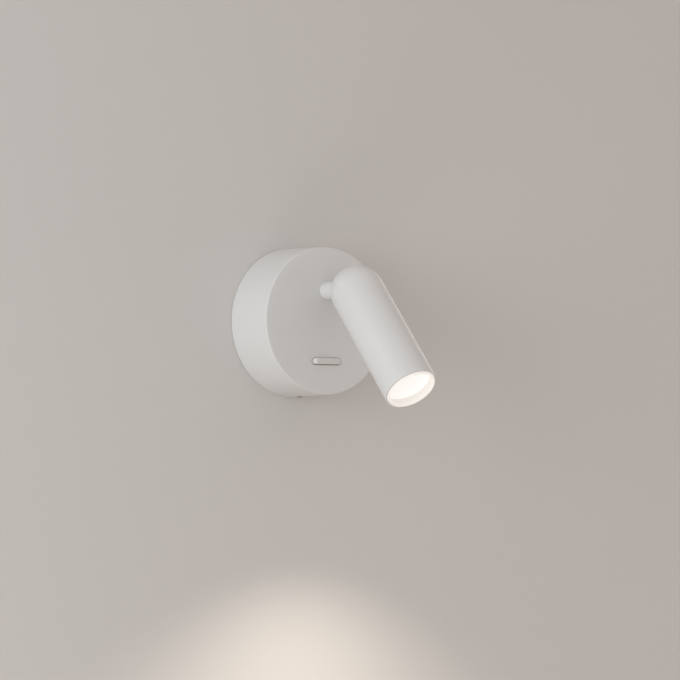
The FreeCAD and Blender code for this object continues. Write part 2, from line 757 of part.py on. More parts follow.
def make_driver_lid():
    """Lid of the driver, with a hole for the leads near each end."""
    body = plate("driver_lid", WALL,
                 box_corners("0", "-driver_drop", "driver_length", "driver_width"),
                 "driver_back", "driver_wall")
    drill(body, [("-driver_lead_hole_spacing / 2", "-driver_drop"),
                 ("driver_lead_hole_spacing / 2", "-driver_drop")],
          "driver_lead_hole_diameter / 2", "driver_back", forward=True)


def make_driver_inside():
    """Circuit board of the driver with its transformer and two capacitors."""
    slack = "2 * driver_wall - 2 * board_clearance"
    plate("driver_board", WALL,
          box_corners("0", "-driver_drop", f"driver_length - {slack}", f"driver_width - {slack}"),
          "board_back", "board_thickness")
    body = new_body("driver_transformer", WALL)
    for length, width, height in (
            ("transformer_length", "transformer_core_width", "transformer_height"),
            ("transformer_length - transformer_core_width", "transformer_width",
             "transformer_height - transformer_core_width / 2")):
        block = new_sketch(body, "XY_Plane", "board_back")
        draw_outline(block, box_corners("transformer_x", "-driver_drop", length, width))
        pad(block, height, reverse=True)
    radius = "capacitor_diameter / 2"
    end = "board_back - capacitor_height"
    body = new_body("driver_capacitors", WALL)
    profile = new_sketch(body, "XZ_Plane", "driver_drop", ("-capacitor_x", "0"))
    draw_outline(profile, [("0", end),
                           (f"{radius} - capacitor_edge_radius", end,
                            "capacitor_edge_radius", "right"),
                           (radius, f"{end} + capacitor_edge_radius"),
                           (radius, "board_back"), ("0", "board_back")])
    in_row(body, [spin(profile)], 2, "capacitor_spacing")


def make_driver_screws():
    """Two screws through the lugs of the driver into posts of the housing."""
    seat = "driver_front - driver_lug_thickness"
    head = "driver_screw_head_diameter / 2"
    body = new_body("driver_screws", WALL)
    profile = new_sketch(body, "XZ_Plane", "driver_drop", ("driver_screw_spacing / 2", "0"))
    draw_outline(profile, [("0", f"{seat} - driver_screw_head_height"),
                           (f"{head} / 2", f"{seat} - driver_screw_head_height"),
                           (head, f"{seat} - driver_screw_head_height / 2"), (head, seat),
                           ("driver_screw_diameter / 2", seat),
                           ("driver_screw_diameter / 2", f"{seat} + driver_screw_length - "
                            "driver_hole_clearance"),
                           ("0", f"{seat} + driver_screw_length - driver_hole_clearance")])
    mirror(body, [spin(profile)])


def make_switch_housing():
    """Switch housing behind the slot: a cavity for the rocker, two flanges and a slotted floor."""
    width = "cavity_width + 2 * switch_side_wall"
    body = new_body("switch_housing", WALL)
    block = new_sketch(body, "XY_Plane", "switch_back")
    draw_outline(block, box_corners("0", "-switch_drop", "cavity_length + 2 * switch_wall", width))
    pad(block, "switch_depth")
    flange = new_sketch(body, "XY_Plane", "switch_seat")
    draw_outline(flange, slot_corners("0", "-switch_drop",
                                      "switch_screw_spacing + switch_post_diameter", width))
    pad(flange, "switch_flange_thickness", reverse=True)
    cavity = new_sketch(body, "XY_Plane", "switch_back + switch_floor")
    draw_outline(cavity, slot_corners("0", "-switch_drop", "cavity_length", "cavity_width"))
    pocket(cavity, reverse=True)
    slits = new_sketch(body, "XY_Plane", "switch_back")
    for x in CONTACTS:
        draw_outline(slits, box_corners(x, "-switch_drop", "terminal_thickness",
                                        "terminal_width"))
    pocket(slits, "switch_floor", reverse=True)
    drill(body, [("0", "rocker_pivot")], "rocker_pin_diameter / 2",
          plane="XZ_Plane").SideType = "Symmetric"
    drill(body, [("-switch_screw_spacing / 2", "-switch_drop"),
                 ("switch_screw_spacing / 2", "-switch_drop")],
          "switch_screw_diameter / 2 + driver_hole_clearance", "switch_seat")


def make_switch_screws():
    """Two small screws through the flanges of the switch into posts of the housing."""
    seat = "switch_seat - switch_flange_thickness"
    head = "switch_screw_head_diameter / 2"
    body = new_body("switch_screws", WALL)
    profile = new_sketch(body, "XZ_Plane", "switch_drop", ("switch_screw_spacing / 2", "0"))
    draw_outline(profile, [("0", f"{seat} - switch_screw_head_height"),
                           (head, f"{seat} - switch_screw_head_height"), (head, seat),
                           ("switch_screw_diameter / 2", seat),
                           ("switch_screw_diameter / 2", f"{seat} + switch_screw_length"),
                           ("0", f"{seat} + switch_screw_length")])
    mirror(body, [spin(profile)])


def make_switch_terminals():
    """Middle terminal that the contact blade rocks on, and a contact under each of its ends."""
    body = new_body("switch_terminals", WALL)
    tail_end = "switch_back - terminal_tail"
    side_top = "blade_pivot - terminal_pitch * sin(blade_throw) - contact_gap"
    for spots, top in ((CONTACTS[1:2], "blade_pivot - contact_gap"), (CONTACTS[::2], side_top)):
        strips = new_sketch(body, "XY_Plane", tail_end)
        for x in spots:
            draw_outline(strips, box_corners(x, "-switch_drop", "terminal_thickness",
                                             "terminal_width"))
        pad(strips, f"{top} - ({tail_end})")
    rivets = new_sketch(body, "XY_Plane", side_top)
    for x in CONTACTS[::2]:
        draw_circle(rivets, x, "-switch_drop", "contact_diameter / 2")
    pad(rivets, "contact_height", reverse=True)


def make_rocker_pin():
    """Steel pin that the rocker turns on, held by the sides of the switch housing."""
    pin = doc.addObject("Part::Cylinder", "rocker_pin")
    pin.Label = "rocker_pin"
    span = "cavity_width + 2 * switch_side_wall"
    pin.setExpression("Radius", formula("rocker_pin_diameter / 2"))
    pin.setExpression("Height", formula(span))
    pin.setExpression("Placement.Base.y", formula("-rocker_pivot"))
    pin.setExpression("Placement.Base.z", formula(f"-switch_drop - ({span}) / 2"))
    pieces.append(pin)


def make_rocker():
    """Slim rocker with round ends and a barrel behind it, and its sprung plunger."""
    top = "rocker_proud + rocker_pivot_depth"
    body = new_body("switch_rocker", ROCKER)
    bar = new_sketch(body, "XZ_Plane", "-rocker_skirt")
    draw_outline(bar, slot_corners("0", "0", "rocker_length", "rocker_width"))
    raised = pad(bar, f"{top} + rocker_skirt")
    doc.recompute()
    rim = [f"Edge{number}" for number, edge in enumerate(raised.Shape.Edges, start=1)
           if all(abs(vertex.Point.y + value(top)) < value("rocker_edge_radius") / 2
                  for vertex in edge.Vertexes)]
    rounding = body.newObject("PartDesign::Fillet", "switch_rocker_edge")
    rounding.Base = (raised, rim)
    rounding.setExpression("Radius", formula("rocker_edge_radius"))
    barrel = new_sketch(body, "XZ_Plane", "-rocker_skirt")
    draw_circle(barrel, "0", "0", "rocker_barrel_diameter / 2")
    pad(barrel, "rocker_barrel_length - rocker_skirt", reverse=True)
    drill(body, [("0", "0")], "plunger_head_diameter / 2 + plunger_play",
          "-rocker_barrel_length", "plunger_bore_depth", plane="XZ_Plane", forward=True)
    drill(body, [("0", "0")], "rocker_pin_diameter / 2 + rocker_pin_clearance",
          ).SideType = "Symmetric"
    head = "plunger_head_diameter / 2"
    shank = "plunger_diameter / 2"
    back = "plunger_reach - plunger_length"
    shoulder = f"{back} + {head}"
    turned("rocker_plunger", ROCKER, [("0", back), (head, back), (head, shoulder),
                                      (shank, shoulder),
                                      (shank, f"plunger_reach - {shank}", shank, "right"),
                                      ("0", "plunger_reach")], plane="XY_Plane")


def make_rocker_spring():
    """Coil spring between the rocker's barrel and the head of the plunger."""
    wire = value("spring_wire_diameter")
    start = value("rocker_barrel_length - plunger_bore_depth") + wire / 2
    finish = value("plunger_reach - plunger_length") - wire / 2
    radius = value("plunger_head_diameter") / 2 - wire / 2
    turns = value("spring_turns")
    coil = Part.makeHelix((finish - start) / turns, finish - start, radius)
    ring = Part.Wire([Part.makeCircle(wire / 2, V(radius, 0, 0), V(0, 1, 0))])
    spring = Part.Wire(coil.Edges).makePipeShell([ring], True, True)
    turn = FreeCAD.Placement(V(0, start, 0), FreeCAD.Rotation(V(1, 0, 0), -90))
    piece = doc.addObject("Part::Feature", "rocker_spring")
    piece.Label = "rocker_spring"
    piece.Shape = spring.transformed(turn.toMatrix(), True)
    place(piece, ROCKER)
    pieces.append(piece)


def make_contact_blade():
    """Brass blade that rocks on the middle terminal when the plunger passes over it."""
    body = new_body("contact_blade", BLADE)
    strip = new_sketch(body, "XY_Plane")
    draw_outline(strip, [("-blade_length / 2", "-blade_thickness"),
                         ("blade_length / 2", "-blade_thickness"),
                         ("blade_length / 2", "0"), ("-blade_length / 2", "0")])
    pad(strip, "blade_width", both=True)


def make_swivel():
    """Bush, stop washer, disc spring, nut and stop pin that let the stem turn with some drag."""
    bore = "tail_diameter / 2 + swivel_play"
    flange = "bush_radius + bush_flange_width"
    low = "face_inside - bush_flange_thickness"
    turned("stem_bush", STEM, [(bore, low), (flange, low), (flange, "face_inside"),
                               ("bush_radius", "face_inside"), ("bush_radius", "base_depth"),
                               (bore, "base_depth")])
    tail = "tail_diameter / 2"
    flat = "tail_diameter / 2 - tail_flat_depth"
    half = f"sqrt({tail} * {tail} - ({flat}) * ({flat}))"
    washer = new_body("stop_washer", STEM)
    disc = new_sketch(washer, "XY_Plane", "stop_washer_back")
    draw_circle(disc, "0", "0", "stop_washer_diameter / 2")
    pad(disc, "stop_washer_thickness")
    tab = new_sketch(washer, "XY_Plane", "stop_washer_back")
    draw_outline(tab, box_corners("0", "-stop_tab_reach / 2", "stop_tab_width", "stop_tab_reach"))
    pad(tab, "stop_washer_thickness")
    hole = new_sketch(washer, "XY_Plane", "stop_washer_back")
    draw_outline(hole, [(flat, f"-{half}"), (flat, half, tail, "right"),
                        ("0", tail, tail, "right"), (f"-{tail}", "0", tail, "right"),
                        ("0", f"-{tail}", tail, "right")])
    pocket(hole, reverse=True)
    rim = "disc_spring_diameter / 2"
    turned("disc_spring", STEM, [(tail, "nut_front"), (rim, "stop_washer_back - "
                                                            "disc_spring_thickness"),
                                 (rim, "stop_washer_back"),
                                 (tail, "nut_front + disc_spring_thickness")])
    nut = new_body("swivel_nut", STEM)
    flats = new_sketch(nut, "XY_Plane", "nut_back")
    hexagon(flats, "nut_across_flats")
    pad(flats, "nut_thickness")
    drill(nut, [("0", "0")], tail, "nut_back", forward=True)
    pin = new_body("stop_pin", STEM)
    dot = new_sketch(pin, "XY_Plane", "face_inside - stop_pin_proud")
    draw_circle(dot, "0", "stop_pin_radius", "stop_pin_diameter / 2")
    pad(dot, "stop_pin_proud + stop_pin_depth")


def make_stem():
    """Hollow white stem: a keyed tail in the base, and a ball end with two flats in the head."""
    bore = "stem_bore_diameter / 2"
    tail = "tail_diameter / 2"
    neck = "knuckle_bore_diameter / 2"
    neck_start = "pivot_reach - knuckle_bore_length"
    body, turning = turned("stem", STEM, [
        (bore, "tail_end"), (tail, "tail_end"), (tail, "stem_root"),
        ("stem_radius - stem_edge_radius", "stem_root", "stem_edge_radius", "right"),
        ("stem_radius", "stem_root + stem_edge_radius"),
        ("stem_radius", "pivot_reach", "stem_radius", "right"),
        ("0", "pivot_reach + stem_radius"), ("0", "pivot_reach"),
        (neck, "pivot_reach"), (neck, neck_start), (bore, neck_start)])
    flats = new_sketch(body, "XY_Plane", "pivot_reach - knuckle_flat_length")
    for side in ("-", ""):
        draw_outline(flats, box_corners(f"{side}(knuckle_side + stem_diameter) / 2", "0",
                                        "stem_diameter - knuckle_side", "2 * stem_diameter"))
    pocket(flats, reverse=True)
    window = new_sketch(body, "YZ_Plane")
    draw_outline(window, [("-stem_diameter", "pivot_reach - wire_window_margin"),
                          ("wire_window_margin", "pivot_reach - wire_window_margin"),
                          ("wire_window_margin", "pivot_reach + stem_diameter"),
                          ("-stem_diameter", "pivot_reach + stem_diameter")])
    pocket(window, "knuckle_bore_diameter", both=True)
    drill(body, [("0", "pivot_reach")], "pivot_screw_diameter / 2",
          plane="YZ_Plane").SideType = "Symmetric"
    key = new_sketch(body, "XY_Plane", "tail_end")
    draw_outline(key, box_corners("tail_diameter - tail_flat_depth", "0", "tail_diameter",
                                  "2 * tail_diameter"))
    pocket(key, "stop_washer_front - tail_end", reverse=True)


def make_pivot():
    """Pivot screws and friction washers on the two flats of the stem's ball end."""
    radius = "pivot_screw_diameter / 2"
    seat = "cheek_outside + pivot_play"
    head = "pivot_screw_head_diameter / 2"
    top = f"{seat} + pivot_screw_head_height"
    body, screw = turned("pivot_screws", STEM, [
        ("knuckle_bore_diameter / 2", "0"), (top, "0"), (top, f"{head} * 3 / 4"),
        (f"{top} - {head} / 4", head), (seat, head), (seat, radius),
        ("knuckle_bore_diameter / 2", radius)], shift=("0", "pivot_reach"), axis="H_Axis")
    socket = new_sketch(body, "YZ_Plane", top, ("0", "pivot_reach"))
    hexagon(socket, "pivot_socket_across")
    round_about(body, [screw, pocket(socket, "pivot_socket_depth")], "2")
    outside = "knuckle_side + friction_washer_thickness"
    body, ring = turned("friction_washers", STEM, [
        ("knuckle_side", radius), (outside, radius), (outside, "friction_washer_diameter / 2"),
        ("knuckle_side", "friction_washer_diameter / 2")], shift=("0", "pivot_reach"),
        axis="H_Axis")
    round_about(body, [ring], "2")


def make_yoke():
    """Cast yoke in the head: a flange on the heat sink and two cheeks round the ball end."""
    back = "head_shoulder - yoke_flange_thickness"
    body = new_body("pivot_yoke", HEAD)
    flange = new_sketch(body, "XY_Plane", back)
    draw_circle(flange, "0", "0", "yoke_flange_diameter / 2")
    pad(flange, "yoke_flange_thickness")
    cheek = new_sketch(body, "YZ_Plane")
    draw_outline(cheek, [("-yoke_cheek_radius", "-pivot_setback", "yoke_cheek_radius", "right"),
                         ("0", "-pivot_setback - yoke_cheek_radius", "yoke_cheek_radius",
                          "right"),
                         ("yoke_cheek_radius", "-pivot_setback"),
                         ("yoke_cheek_radius", back), ("-yoke_cheek_radius", back)])
    pad(cheek, "2 * cheek_outside", both=True)
    middle = new_sketch(body, "YZ_Plane")
    draw_outline(middle, box_corners("0", f"({back}) - head_length / 2", "2 * head_diameter",
                                     "head_length"))
    pocket(middle, "2 * cheek_inside", both=True)
    drill(body, [("0", "-pivot_setback")], "pivot_screw_diameter / 2 + pivot_play",
          plane="YZ_Plane").SideType = "Symmetric"
    drill(body, [("0", "-yoke_screw_radius"), ("0", "yoke_screw_radius")],
          "yoke_screw_diameter / 2 + yoke_hole_clearance", back, forward=True)
    cut_wire_notch(body, back, "yoke_flange_thickness")


def cut_wire_notch(body, lift, depth):
    """Cut the notch for the leads in the rim of a round piece of the head."""
    notch = new_sketch(body, "XY_Plane", lift)
    draw_outline(notch, box_corners("0", "wire_notch_from_axis + head_radius / 2",
                                    "wire_notch_width", "head_radius"))
    return pocket(notch, depth, reverse=True)


def make_yoke_screws():
    """Two screws that hold the yoke to the heat sink."""
    seat = "head_shoulder - yoke_flange_thickness"
    head = "yoke_screw_head_diameter / 2"
    radius = "yoke_screw_diameter / 2"
    body, screw = turned("yoke_screws", HEAD, [
        ("0", f"{seat} - yoke_screw_head_height"),
        (f"{head} * 2 / 3", f"{seat} - yoke_screw_head_height"),
        (head, f"{seat} - yoke_screw_head_height / 2"), (head, seat), (radius, seat),
        (radius, f"{seat} + yoke_screw_length"), ("0", f"{seat} + yoke_screw_length")],
        plane="YZ_Plane", shift=("yoke_screw_radius", "0"))
    round_about(body, [screw], "2")


def make_head_shell():
    """White tube of the head with a round closed end, slotted for the stem's whole swing."""
    body, tube = turned("head_shell", HEAD, [
        ("0", "-head_radius", "head_radius", "right"),
        ("head_radius", "0"),
        ("head_radius", "shell_front - head_edge_radius", "head_edge_radius", "right"),
        ("head_radius - head_edge_radius", "shell_front"),
        ("head_bore + head_edge_radius", "shell_front"),
        ("head_bore", "shell_front - head_edge_radius"),
        ("head_bore", "head_shoulder"),
        ("head_rear_bore", "head_shoulder"),
        ("head_rear_bore", "0", "head_rear_bore", "left"),
        ("0", "-head_rear_bore")])
    swing = new_sketch(body, "YZ_Plane")
    draw_outline(swing, [("-head_diameter", "-head_diameter"), ("0", "-head_diameter"),
                         ("0", "-pivot_setback"), ("-head_diameter", "-pivot_setback")])
    pocket(swing, "2 * slot_half", both=True)
    drill(body, [("0", "0")], "slot_half", "-pivot_setback")
    drill(body, [("0", "-pivot_setback")], "slot_half", plane="XZ_Plane", forward=True)


def make_heat_sink():
    """Aluminium heat sink: a core with fins all round and a solid seat for the LED board."""
    body = new_body("heat_sink", HEAD)
    billet = new_sketch(body, "XY_Plane", "head_shoulder")
    draw_circle(billet, "0", "0", "cartridge_radius")
    pad(billet, "heat_sink_length")
    core = "heat_sink_core_diameter / 2"
    root = f"sqrt({core} * {core} - fin_thickness * fin_thickness / 4)"
    half_pitch = "180 / fin_count"
    sides = [(f"(sin({half_pitch}) * {rho} - cos({half_pitch}) * fin_thickness / 2)",
              f"(cos({half_pitch}) * {rho} + sin({half_pitch}) * fin_thickness / 2)")
             for rho in (root, "head_radius")]
    (inner_x, inner_y), (outer_x, outer_y) = sides
    gap = new_sketch(body, "XY_Plane", "head_shoulder")
    draw_outline(gap, [(inner_x, inner_y), (outer_x, outer_y), (f"-{outer_x}", outer_y),
                       (f"-{inner_x}", inner_y, core, "left")])
    cut = pocket(gap, "heat_sink_length - heat_sink_seat_thickness", reverse=True)
    round_about(body, [cut], "fin_count")
    cut_wire_notch(body, "heat_sink_front - heat_sink_seat_thickness", "heat_sink_seat_thickness")
    drill(body, [("0", "-yoke_screw_radius"), ("0", "yoke_screw_radius")],
          "yoke_screw_diameter / 2", "head_shoulder",
          "yoke_screw_length - yoke_flange_thickness", forward=True)
    drill(body, [("-led_screw_radius", "0"), ("led_screw_radius", "0")],
          "led_screw_diameter / 2", "heat_sink_front",
          "led_screw_length - led_board_thickness - thermal_pad_thickness")


def make_led_board():
    """Thermal pad, LED board with its two screws, and the emitter on its middle."""
    pad_body = new_body("thermal_pad", HEAD)
    film = new_sketch(pad_body, "XY_Plane", "heat_sink_front")
    draw_circle(film, "0", "0", "thermal_pad_diameter / 2")
    pad(film, "thermal_pad_thickness")
    board = new_body("led_board", HEAD)
    disc = new_sketch(board, "XY_Plane", "led_board_back")
    draw_circle(disc, "0", "0", "led_board_diameter / 2")
    pad(disc, "led_board_thickness")
    cut_wire_notch(board, "led_board_back", "led_board_thickness")
    drill(board, [("-led_screw_radius", "0"), ("led_screw_radius", "0")],
          "led_screw_diameter / 2", "led_board_back", forward=True)
    radius = "led_screw_diameter / 2"
    head = "led_screw_head_diameter / 2"
    tip = "led_board_front - led_screw_length"
    top = "led_board_front + led_screw_head_height"
    screws, screw = turned("led_board_screws", HEAD, [
        ("0", tip), (radius, tip), (radius, "led_board_front"), (head, "led_board_front"),
        (head, f"{top} - led_screw_head_height / 2"), (f"{head} * 2 / 3", top), ("0", top)],
        shift=("led_screw_radius", "0"))
    round_about(screws, [screw], "2")
    emitter = plate("led_emitter", HEAD,
                    box_corners("0", "0", "emitter_width", "emitter_width"),
                    "led_board_front", "emitter_thickness")
    phosphor = new_sketch(emitter, "XY_Plane", "led_board_front + emitter_thickness")
    draw_circle(phosphor, "0", "0", "phosphor_diameter / 2")
    pad(phosphor, "phosphor_thickness")


def make_optics():
    """Reflector cone on the LED board, frosted diffuser, and the flanged ring that clamps both."""
    throat = "reflector_throat_diameter / 2"
    mouth = "reflector_mouth_diameter / 2"
    rim = "reflector_front - reflector_rim_thickness"
    turned("reflector", HEAD, [
        (throat, "led_board_front", "reflector_curve_radius", "right"),
        (mouth, "reflector_front"), ("cartridge_radius", "reflector_front"),
        ("cartridge_radius", rim),
        (f"{mouth} + reflector_wall / 2", rim, "reflector_curve_radius", "left"),
        (f"{throat} + reflector_wall", "led_board_front")])
    diffuser = new_body("diffuser", HEAD)
    disc = new_sketch(diffuser, "XY_Plane", "reflector_front")
    draw_circle(disc, "0", "0", "cartridge_radius")
    pad(disc, "diffuser_thickness")
    flange = "head_radius - ring_flange_inset"
    turned("front_ring", HEAD, [
        ("ring_bore", "diffuser_front"), ("cartridge_radius", "diffuser_front"),
        ("cartridge_radius", "shell_front"), (flange, "shell_front"),
        (flange, "head_length - ring_edge_radius", "ring_edge_radius", "right"),
        (f"{flange} - ring_edge_radius", "head_length"),
        ("ring_bore + ring_lip_radius", "head_length", "ring_lip_radius", "right"),
        ("ring_bore", "head_length - ring_lip_radius")])


def make_lead(label, frame, route):
    """Run a wire along a route: straight runs joined by arcs as large as the runs allow."""
    points = [V(*(value(text) for text in spot)) for spot in route]
    edges = []
    start = points[0]
    radii = []
    for before, corner, after in zip(points, points[1:], points[2:]):
        back = (before - corner).normalize()
        ahead = (after - corner).normalize()
        turn = math.pi - back.getAngle(ahead)
        reach = ARC_SHARE * min((before - corner).Length, (after - corner).Length)
        radius = reach / math.tan(turn / 2)
        radii.append(radius)
        first = corner + back * reach
        last = corner + ahead * reach
        inward = (back + ahead).normalize()
        middle = corner + inward * (radius / math.cos(turn / 2) - radius)
        edges.append(Part.LineSegment(start, first).toShape())
        edges.append(Part.Arc(first, middle, last).toShape())
        start = last
    edges.append(Part.LineSegment(start, points[-1]).toShape())
    path = Part.Wire(edges)
    radius = value("lead_diameter") / 2
    section = Part.Wire([Part.makeCircle(radius, points[0], points[1] - points[0])])
    tube = path.makePipeShell([section], True, False)
    ideal = math.pi * radius ** 2 * path.Length
    print(f"{label}: {path.Length:.1f} long, volume share {tube.Volume / ideal:.4f}, radii",
          " ".join(f"{size:.1f}" for size in radii))
    piece = doc.addObject("Part::Feature", label)
    piece.Label = label
    piece.Shape = tube
    place(piece, frame)
    pieces.append(piece)


def make_run(label, starts, shares, end):
    """Run a lead between two places in the base, by the shares of the way that it passes."""
    route = list(starts)
    start = route[-1]
    for across, up, out, bow in shares:
        route.append((f"{start[0]} + {across} * ({end[0]} - ({start[0]})) + {bow} * "
                      "cable_hole_diameter",
                      f"{start[1]} + {up} * ({end[1]} - ({start[1]}))",
                      f"lead_floor + {out} * (driver_back - lead_floor)"))
    make_lead(label, WALL, route + [end])


def make_base_leads():
    """Wires in the base: from the terminal block to the switch, driver and earth tag, and on."""
    ends = ("block_bottom_edge + lead_entry", "block_bottom_edge - lead_diameter")
    live, neutral, earth = ([(x, y, "sleeve_from_wall") for y in ends]
                            for x in ("0", "-pole_pitch", "pole_pitch"))
    lid_end = "driver_back + driver_wall"
    hole = "driver_lead_hole_spacing / 2"
    middle_tail = ("0", "-switch_drop", "switch_back - terminal_tail")
    left_tail = ("-terminal_pitch", "-switch_drop", "switch_back - terminal_tail")
    make_run("live_lead", live, LIVE_SHARES, middle_tail)
    make_run("neutral_lead", neutral, NEUTRAL_SHARES,
             (f"-{hole}", "lead_diameter - driver_drop", lid_end))
    make_run("switched_lead", [left_tail], SWITCHED_SHARES,
             (f"-{hole}", "-driver_drop - lead_diameter", lid_end))
    make_run("earth_lead", earth, EARTH_SHARES,
             ("earth_screw_x", "earth_tag_diameter / 2 - earth_screw_drop",
              "bracket_thickness + earth_tag_thickness + lead_diameter / 2"))
    for label, side in (("led_lead_positive_base", 1), ("led_lead_negative_base", -1)):
        route = []
        for across, up, out, right, down in LED_SHARES:
            route.append((f"(1 - {across}) * {hole} + {right * side} * lead_pitch / 2",
                          f"{up} * (stem_height + driver_drop) - driver_drop + {down * side} * "
                          "lead_pitch / 2",
                          f"lead_floor + {out} * (driver_back - lead_floor)"))
        first, last = route[0], route[-1]
        route = [(first[0], first[1], lid_end)] + route + [(last[0], last[1], "tail_end")]
        make_lead(label, WALL, route)


def make_head_leads():
    """Wires through the stem, and on through the head to the edge of the LED board."""
    for name, side in (("positive", 1), ("negative", -1)):
        x = f"{side} * lead_pitch / 2"
        make_lead(f"led_lead_{name}_stem", STEM, [(x, "0", "tail_end"),
                                                  (x, "0", "pivot_reach - lead_gap")])
        seat = "wire_notch_from_axis + 3 * lead_diameter / 4"
        make_lead(f"led_lead_{name}_head", HEAD, [
            (x, "0", "lead_gap - pivot_setback"),
            *((x, f"{up} * ({seat})", f"{ahead} * head_shoulder")
              for up, ahead in HEAD_LEAD_SHARES),
            (x, seat, "led_board_front + lead_diameter / 2")])


def check_and_write():
    """Stop on a failed feature or a bad shape, then write every piece to its own file."""
    doc.recompute()
    for item in doc.Objects:
        if "Invalid" in item.State or "Error" in item.State:
            raise RuntimeError(f"{item.Name} failed: {item.State}")
    for piece in pieces:
        if piece.Shape.isNull() or not piece.Shape.isValid() or not piece.Shape.Solids:
            raise RuntimeError(f"{piece.Label} has no valid solid")
    os.makedirs("parts", exist_ok=True)
    for piece in pieces:
        piece.Shape.exportStep(f"parts/{piece.Label}.step")


POLES = ("-pole_pitch", "0", "pole_pitch")
CLAMPS = ("block_height - clamp_screw_offset", "block_height + clamp_screw_offset")
CONTACTS = ("-terminal_pitch", "0", "terminal_pitch")
# How much of the shorter run an arc of a wire takes up at each of its ends.
ARC_SHARE = 0.45
# The ways of the leads in the base. Each row is a share of the way across and of the way up from
# the lead's start to its end, a share of the space from the lowest way a lead can take to the
# driver, and a bow to one side in diameters of the cable hole, which keeps the live lead clear of
# the supply cable.
LIVE_SHARES = ((0, 0.208, 0.064, 0.261), (0, 0.421, 0.037, 0.361), (0, 0.665, 0.045, 0.32),
               (0, 0.889, 0.118, 0.111), (0, 1, 0.456, 0))
NEUTRAL_SHARES = ((0.094, 0.242, 0.318, 0), (0.531, 0.623, 0.227, 0), (0.906, 0.919, 0.318, 0),
                  (1, 1, 0.682, 0))
SWITCHED_SHARES = ((0, 0, 0.545, 0), (0.06, 0.051, 0.264, 0), (0.307, 0.247, 0.155, 0),
                   (0.729, 0.627, 0.191, 0), (0.97, 0.911, 0.464, 0))
EARTH_SHARES = ((0.083, 0.19, 0.264, 0), (0.583, 0.491, 0.1, 0), (0.917, 0.73, 0.01, 0))
# The two LED leads go side by side: the last two shares are the way from one to the other.
LED_SHARES = ((0, 0, 0.818, 0.7, 0.7), (0.104, 0.095, 0.536, 0.6, 0.8),
              (0.583, 0.44, 0.5, 0.5, 0.85), (0.938, 0.612, 0.555, 0.78, 0.62),
              (1, 0.819, 0.818, 1, 0), (1, 1, 1.227, 1, 0))
HEAD_LEAD_SHARES = ((0.053, 0.213), (0.737, 0.56), (1, 0.88))

for make in (make_wall_bracket, make_cable_grommet, make_housing, make_lock_screws,
             make_terminal_block, make_terminal_sleeves, make_clamp_screws, make_block_screws,
             make_earth_screw, make_earth_tag, make_driver_case, make_driver_lid,
             make_driver_inside, make_driver_screws, make_switch_housing, make_switch_screws,
             make_switch_terminals, make_rocker_pin, make_rocker, make_rocker_spring,
             make_contact_blade, make_swivel, make_stem, make_pivot, make_yoke,
             make_yoke_screws, make_head_shell, make_heat_sink, make_led_board, make_optics,
             make_base_leads, make_head_leads):
    make()
check_and_write()
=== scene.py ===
"""Looks of the wall spotlight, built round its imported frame.

The pieces that can be seen are made here as fine meshes that stand for their nodes. The pieces
inside keep their nodes and get their finishes. Sizes are in millimetres until a piece is placed,
and the room, its lights and the finishes are in metres.
"""

import logging
import math
from dataclasses import dataclass
from enum import Enum, IntEnum
from functools import cache
from typing import Sequence

import bmesh
import bpy
from mathutils import Matrix, Vector


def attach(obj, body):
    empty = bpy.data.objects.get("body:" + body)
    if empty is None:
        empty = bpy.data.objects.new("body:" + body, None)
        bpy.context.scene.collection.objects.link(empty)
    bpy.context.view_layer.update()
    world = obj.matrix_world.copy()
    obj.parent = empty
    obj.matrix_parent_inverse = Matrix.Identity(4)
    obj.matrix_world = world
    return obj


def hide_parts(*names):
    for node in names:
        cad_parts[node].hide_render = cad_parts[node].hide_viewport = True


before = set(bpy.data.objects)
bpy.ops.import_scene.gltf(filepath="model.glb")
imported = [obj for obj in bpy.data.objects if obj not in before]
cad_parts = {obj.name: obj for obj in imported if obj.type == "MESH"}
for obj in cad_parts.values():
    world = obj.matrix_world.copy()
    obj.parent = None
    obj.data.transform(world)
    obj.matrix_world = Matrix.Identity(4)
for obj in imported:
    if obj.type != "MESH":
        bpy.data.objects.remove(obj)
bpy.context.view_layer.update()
LOG = logging.getLogger("wall_spotlight")

Mesh = bpy.types.Mesh
Node = bpy.types.Node
Object = bpy.types.Object
Socket = bpy.types.NodeSocket
Tree = bpy.types.NodeTree
Color = tuple[float, float, float]
Place = tuple[float, float, float]
Point = tuple[float, float]
Term = float | tuple[float, ...] | Socket

MM = 0.001
# How far a cutter reaches past what it cuts, and the radius below which a point is on the axis.
OVERRUN = 1.0
ON_AXIS = 1e-6

# Driving sizes of the lamp: the depth of its base, the height of its stem above the base's
# middle, the tilt pivot's distance from the wall and from the middle of the head's dome, the
# head's angle from straight down, and the distance of the disc's face from the dome's middle.
BASE_DEPTH = 33.5
STEM_HEIGHT = 17.2
PIVOT_REACH = 61.0
PIVOT_SETBACK = 2.8
HEAD_TILT = 41.0
DISC_FRONT = 69.2


class Body(Enum):
    """The moving bodies that a new piece can ride on."""

    BASE = "base"
    STEM = "stem"
    HEAD = "head"
    ROCKER = "rocker"


class Relief(Enum):
    """Kinds of fine relief that a finish can have."""

    PEEL = "orange_peel"
    SPARK = "spark_texture"
    CAST = "cast_skin"
    BRUSHED = "brushed_lines"
    TURNED = "turned_marks"


class Sides(IntEnum):
    """How many sides a turned piece has."""

    SMALL = 48
    BUSH = 64
    STEM = 128
    DISC = 160
    HEAD = 192
    CUP = 256


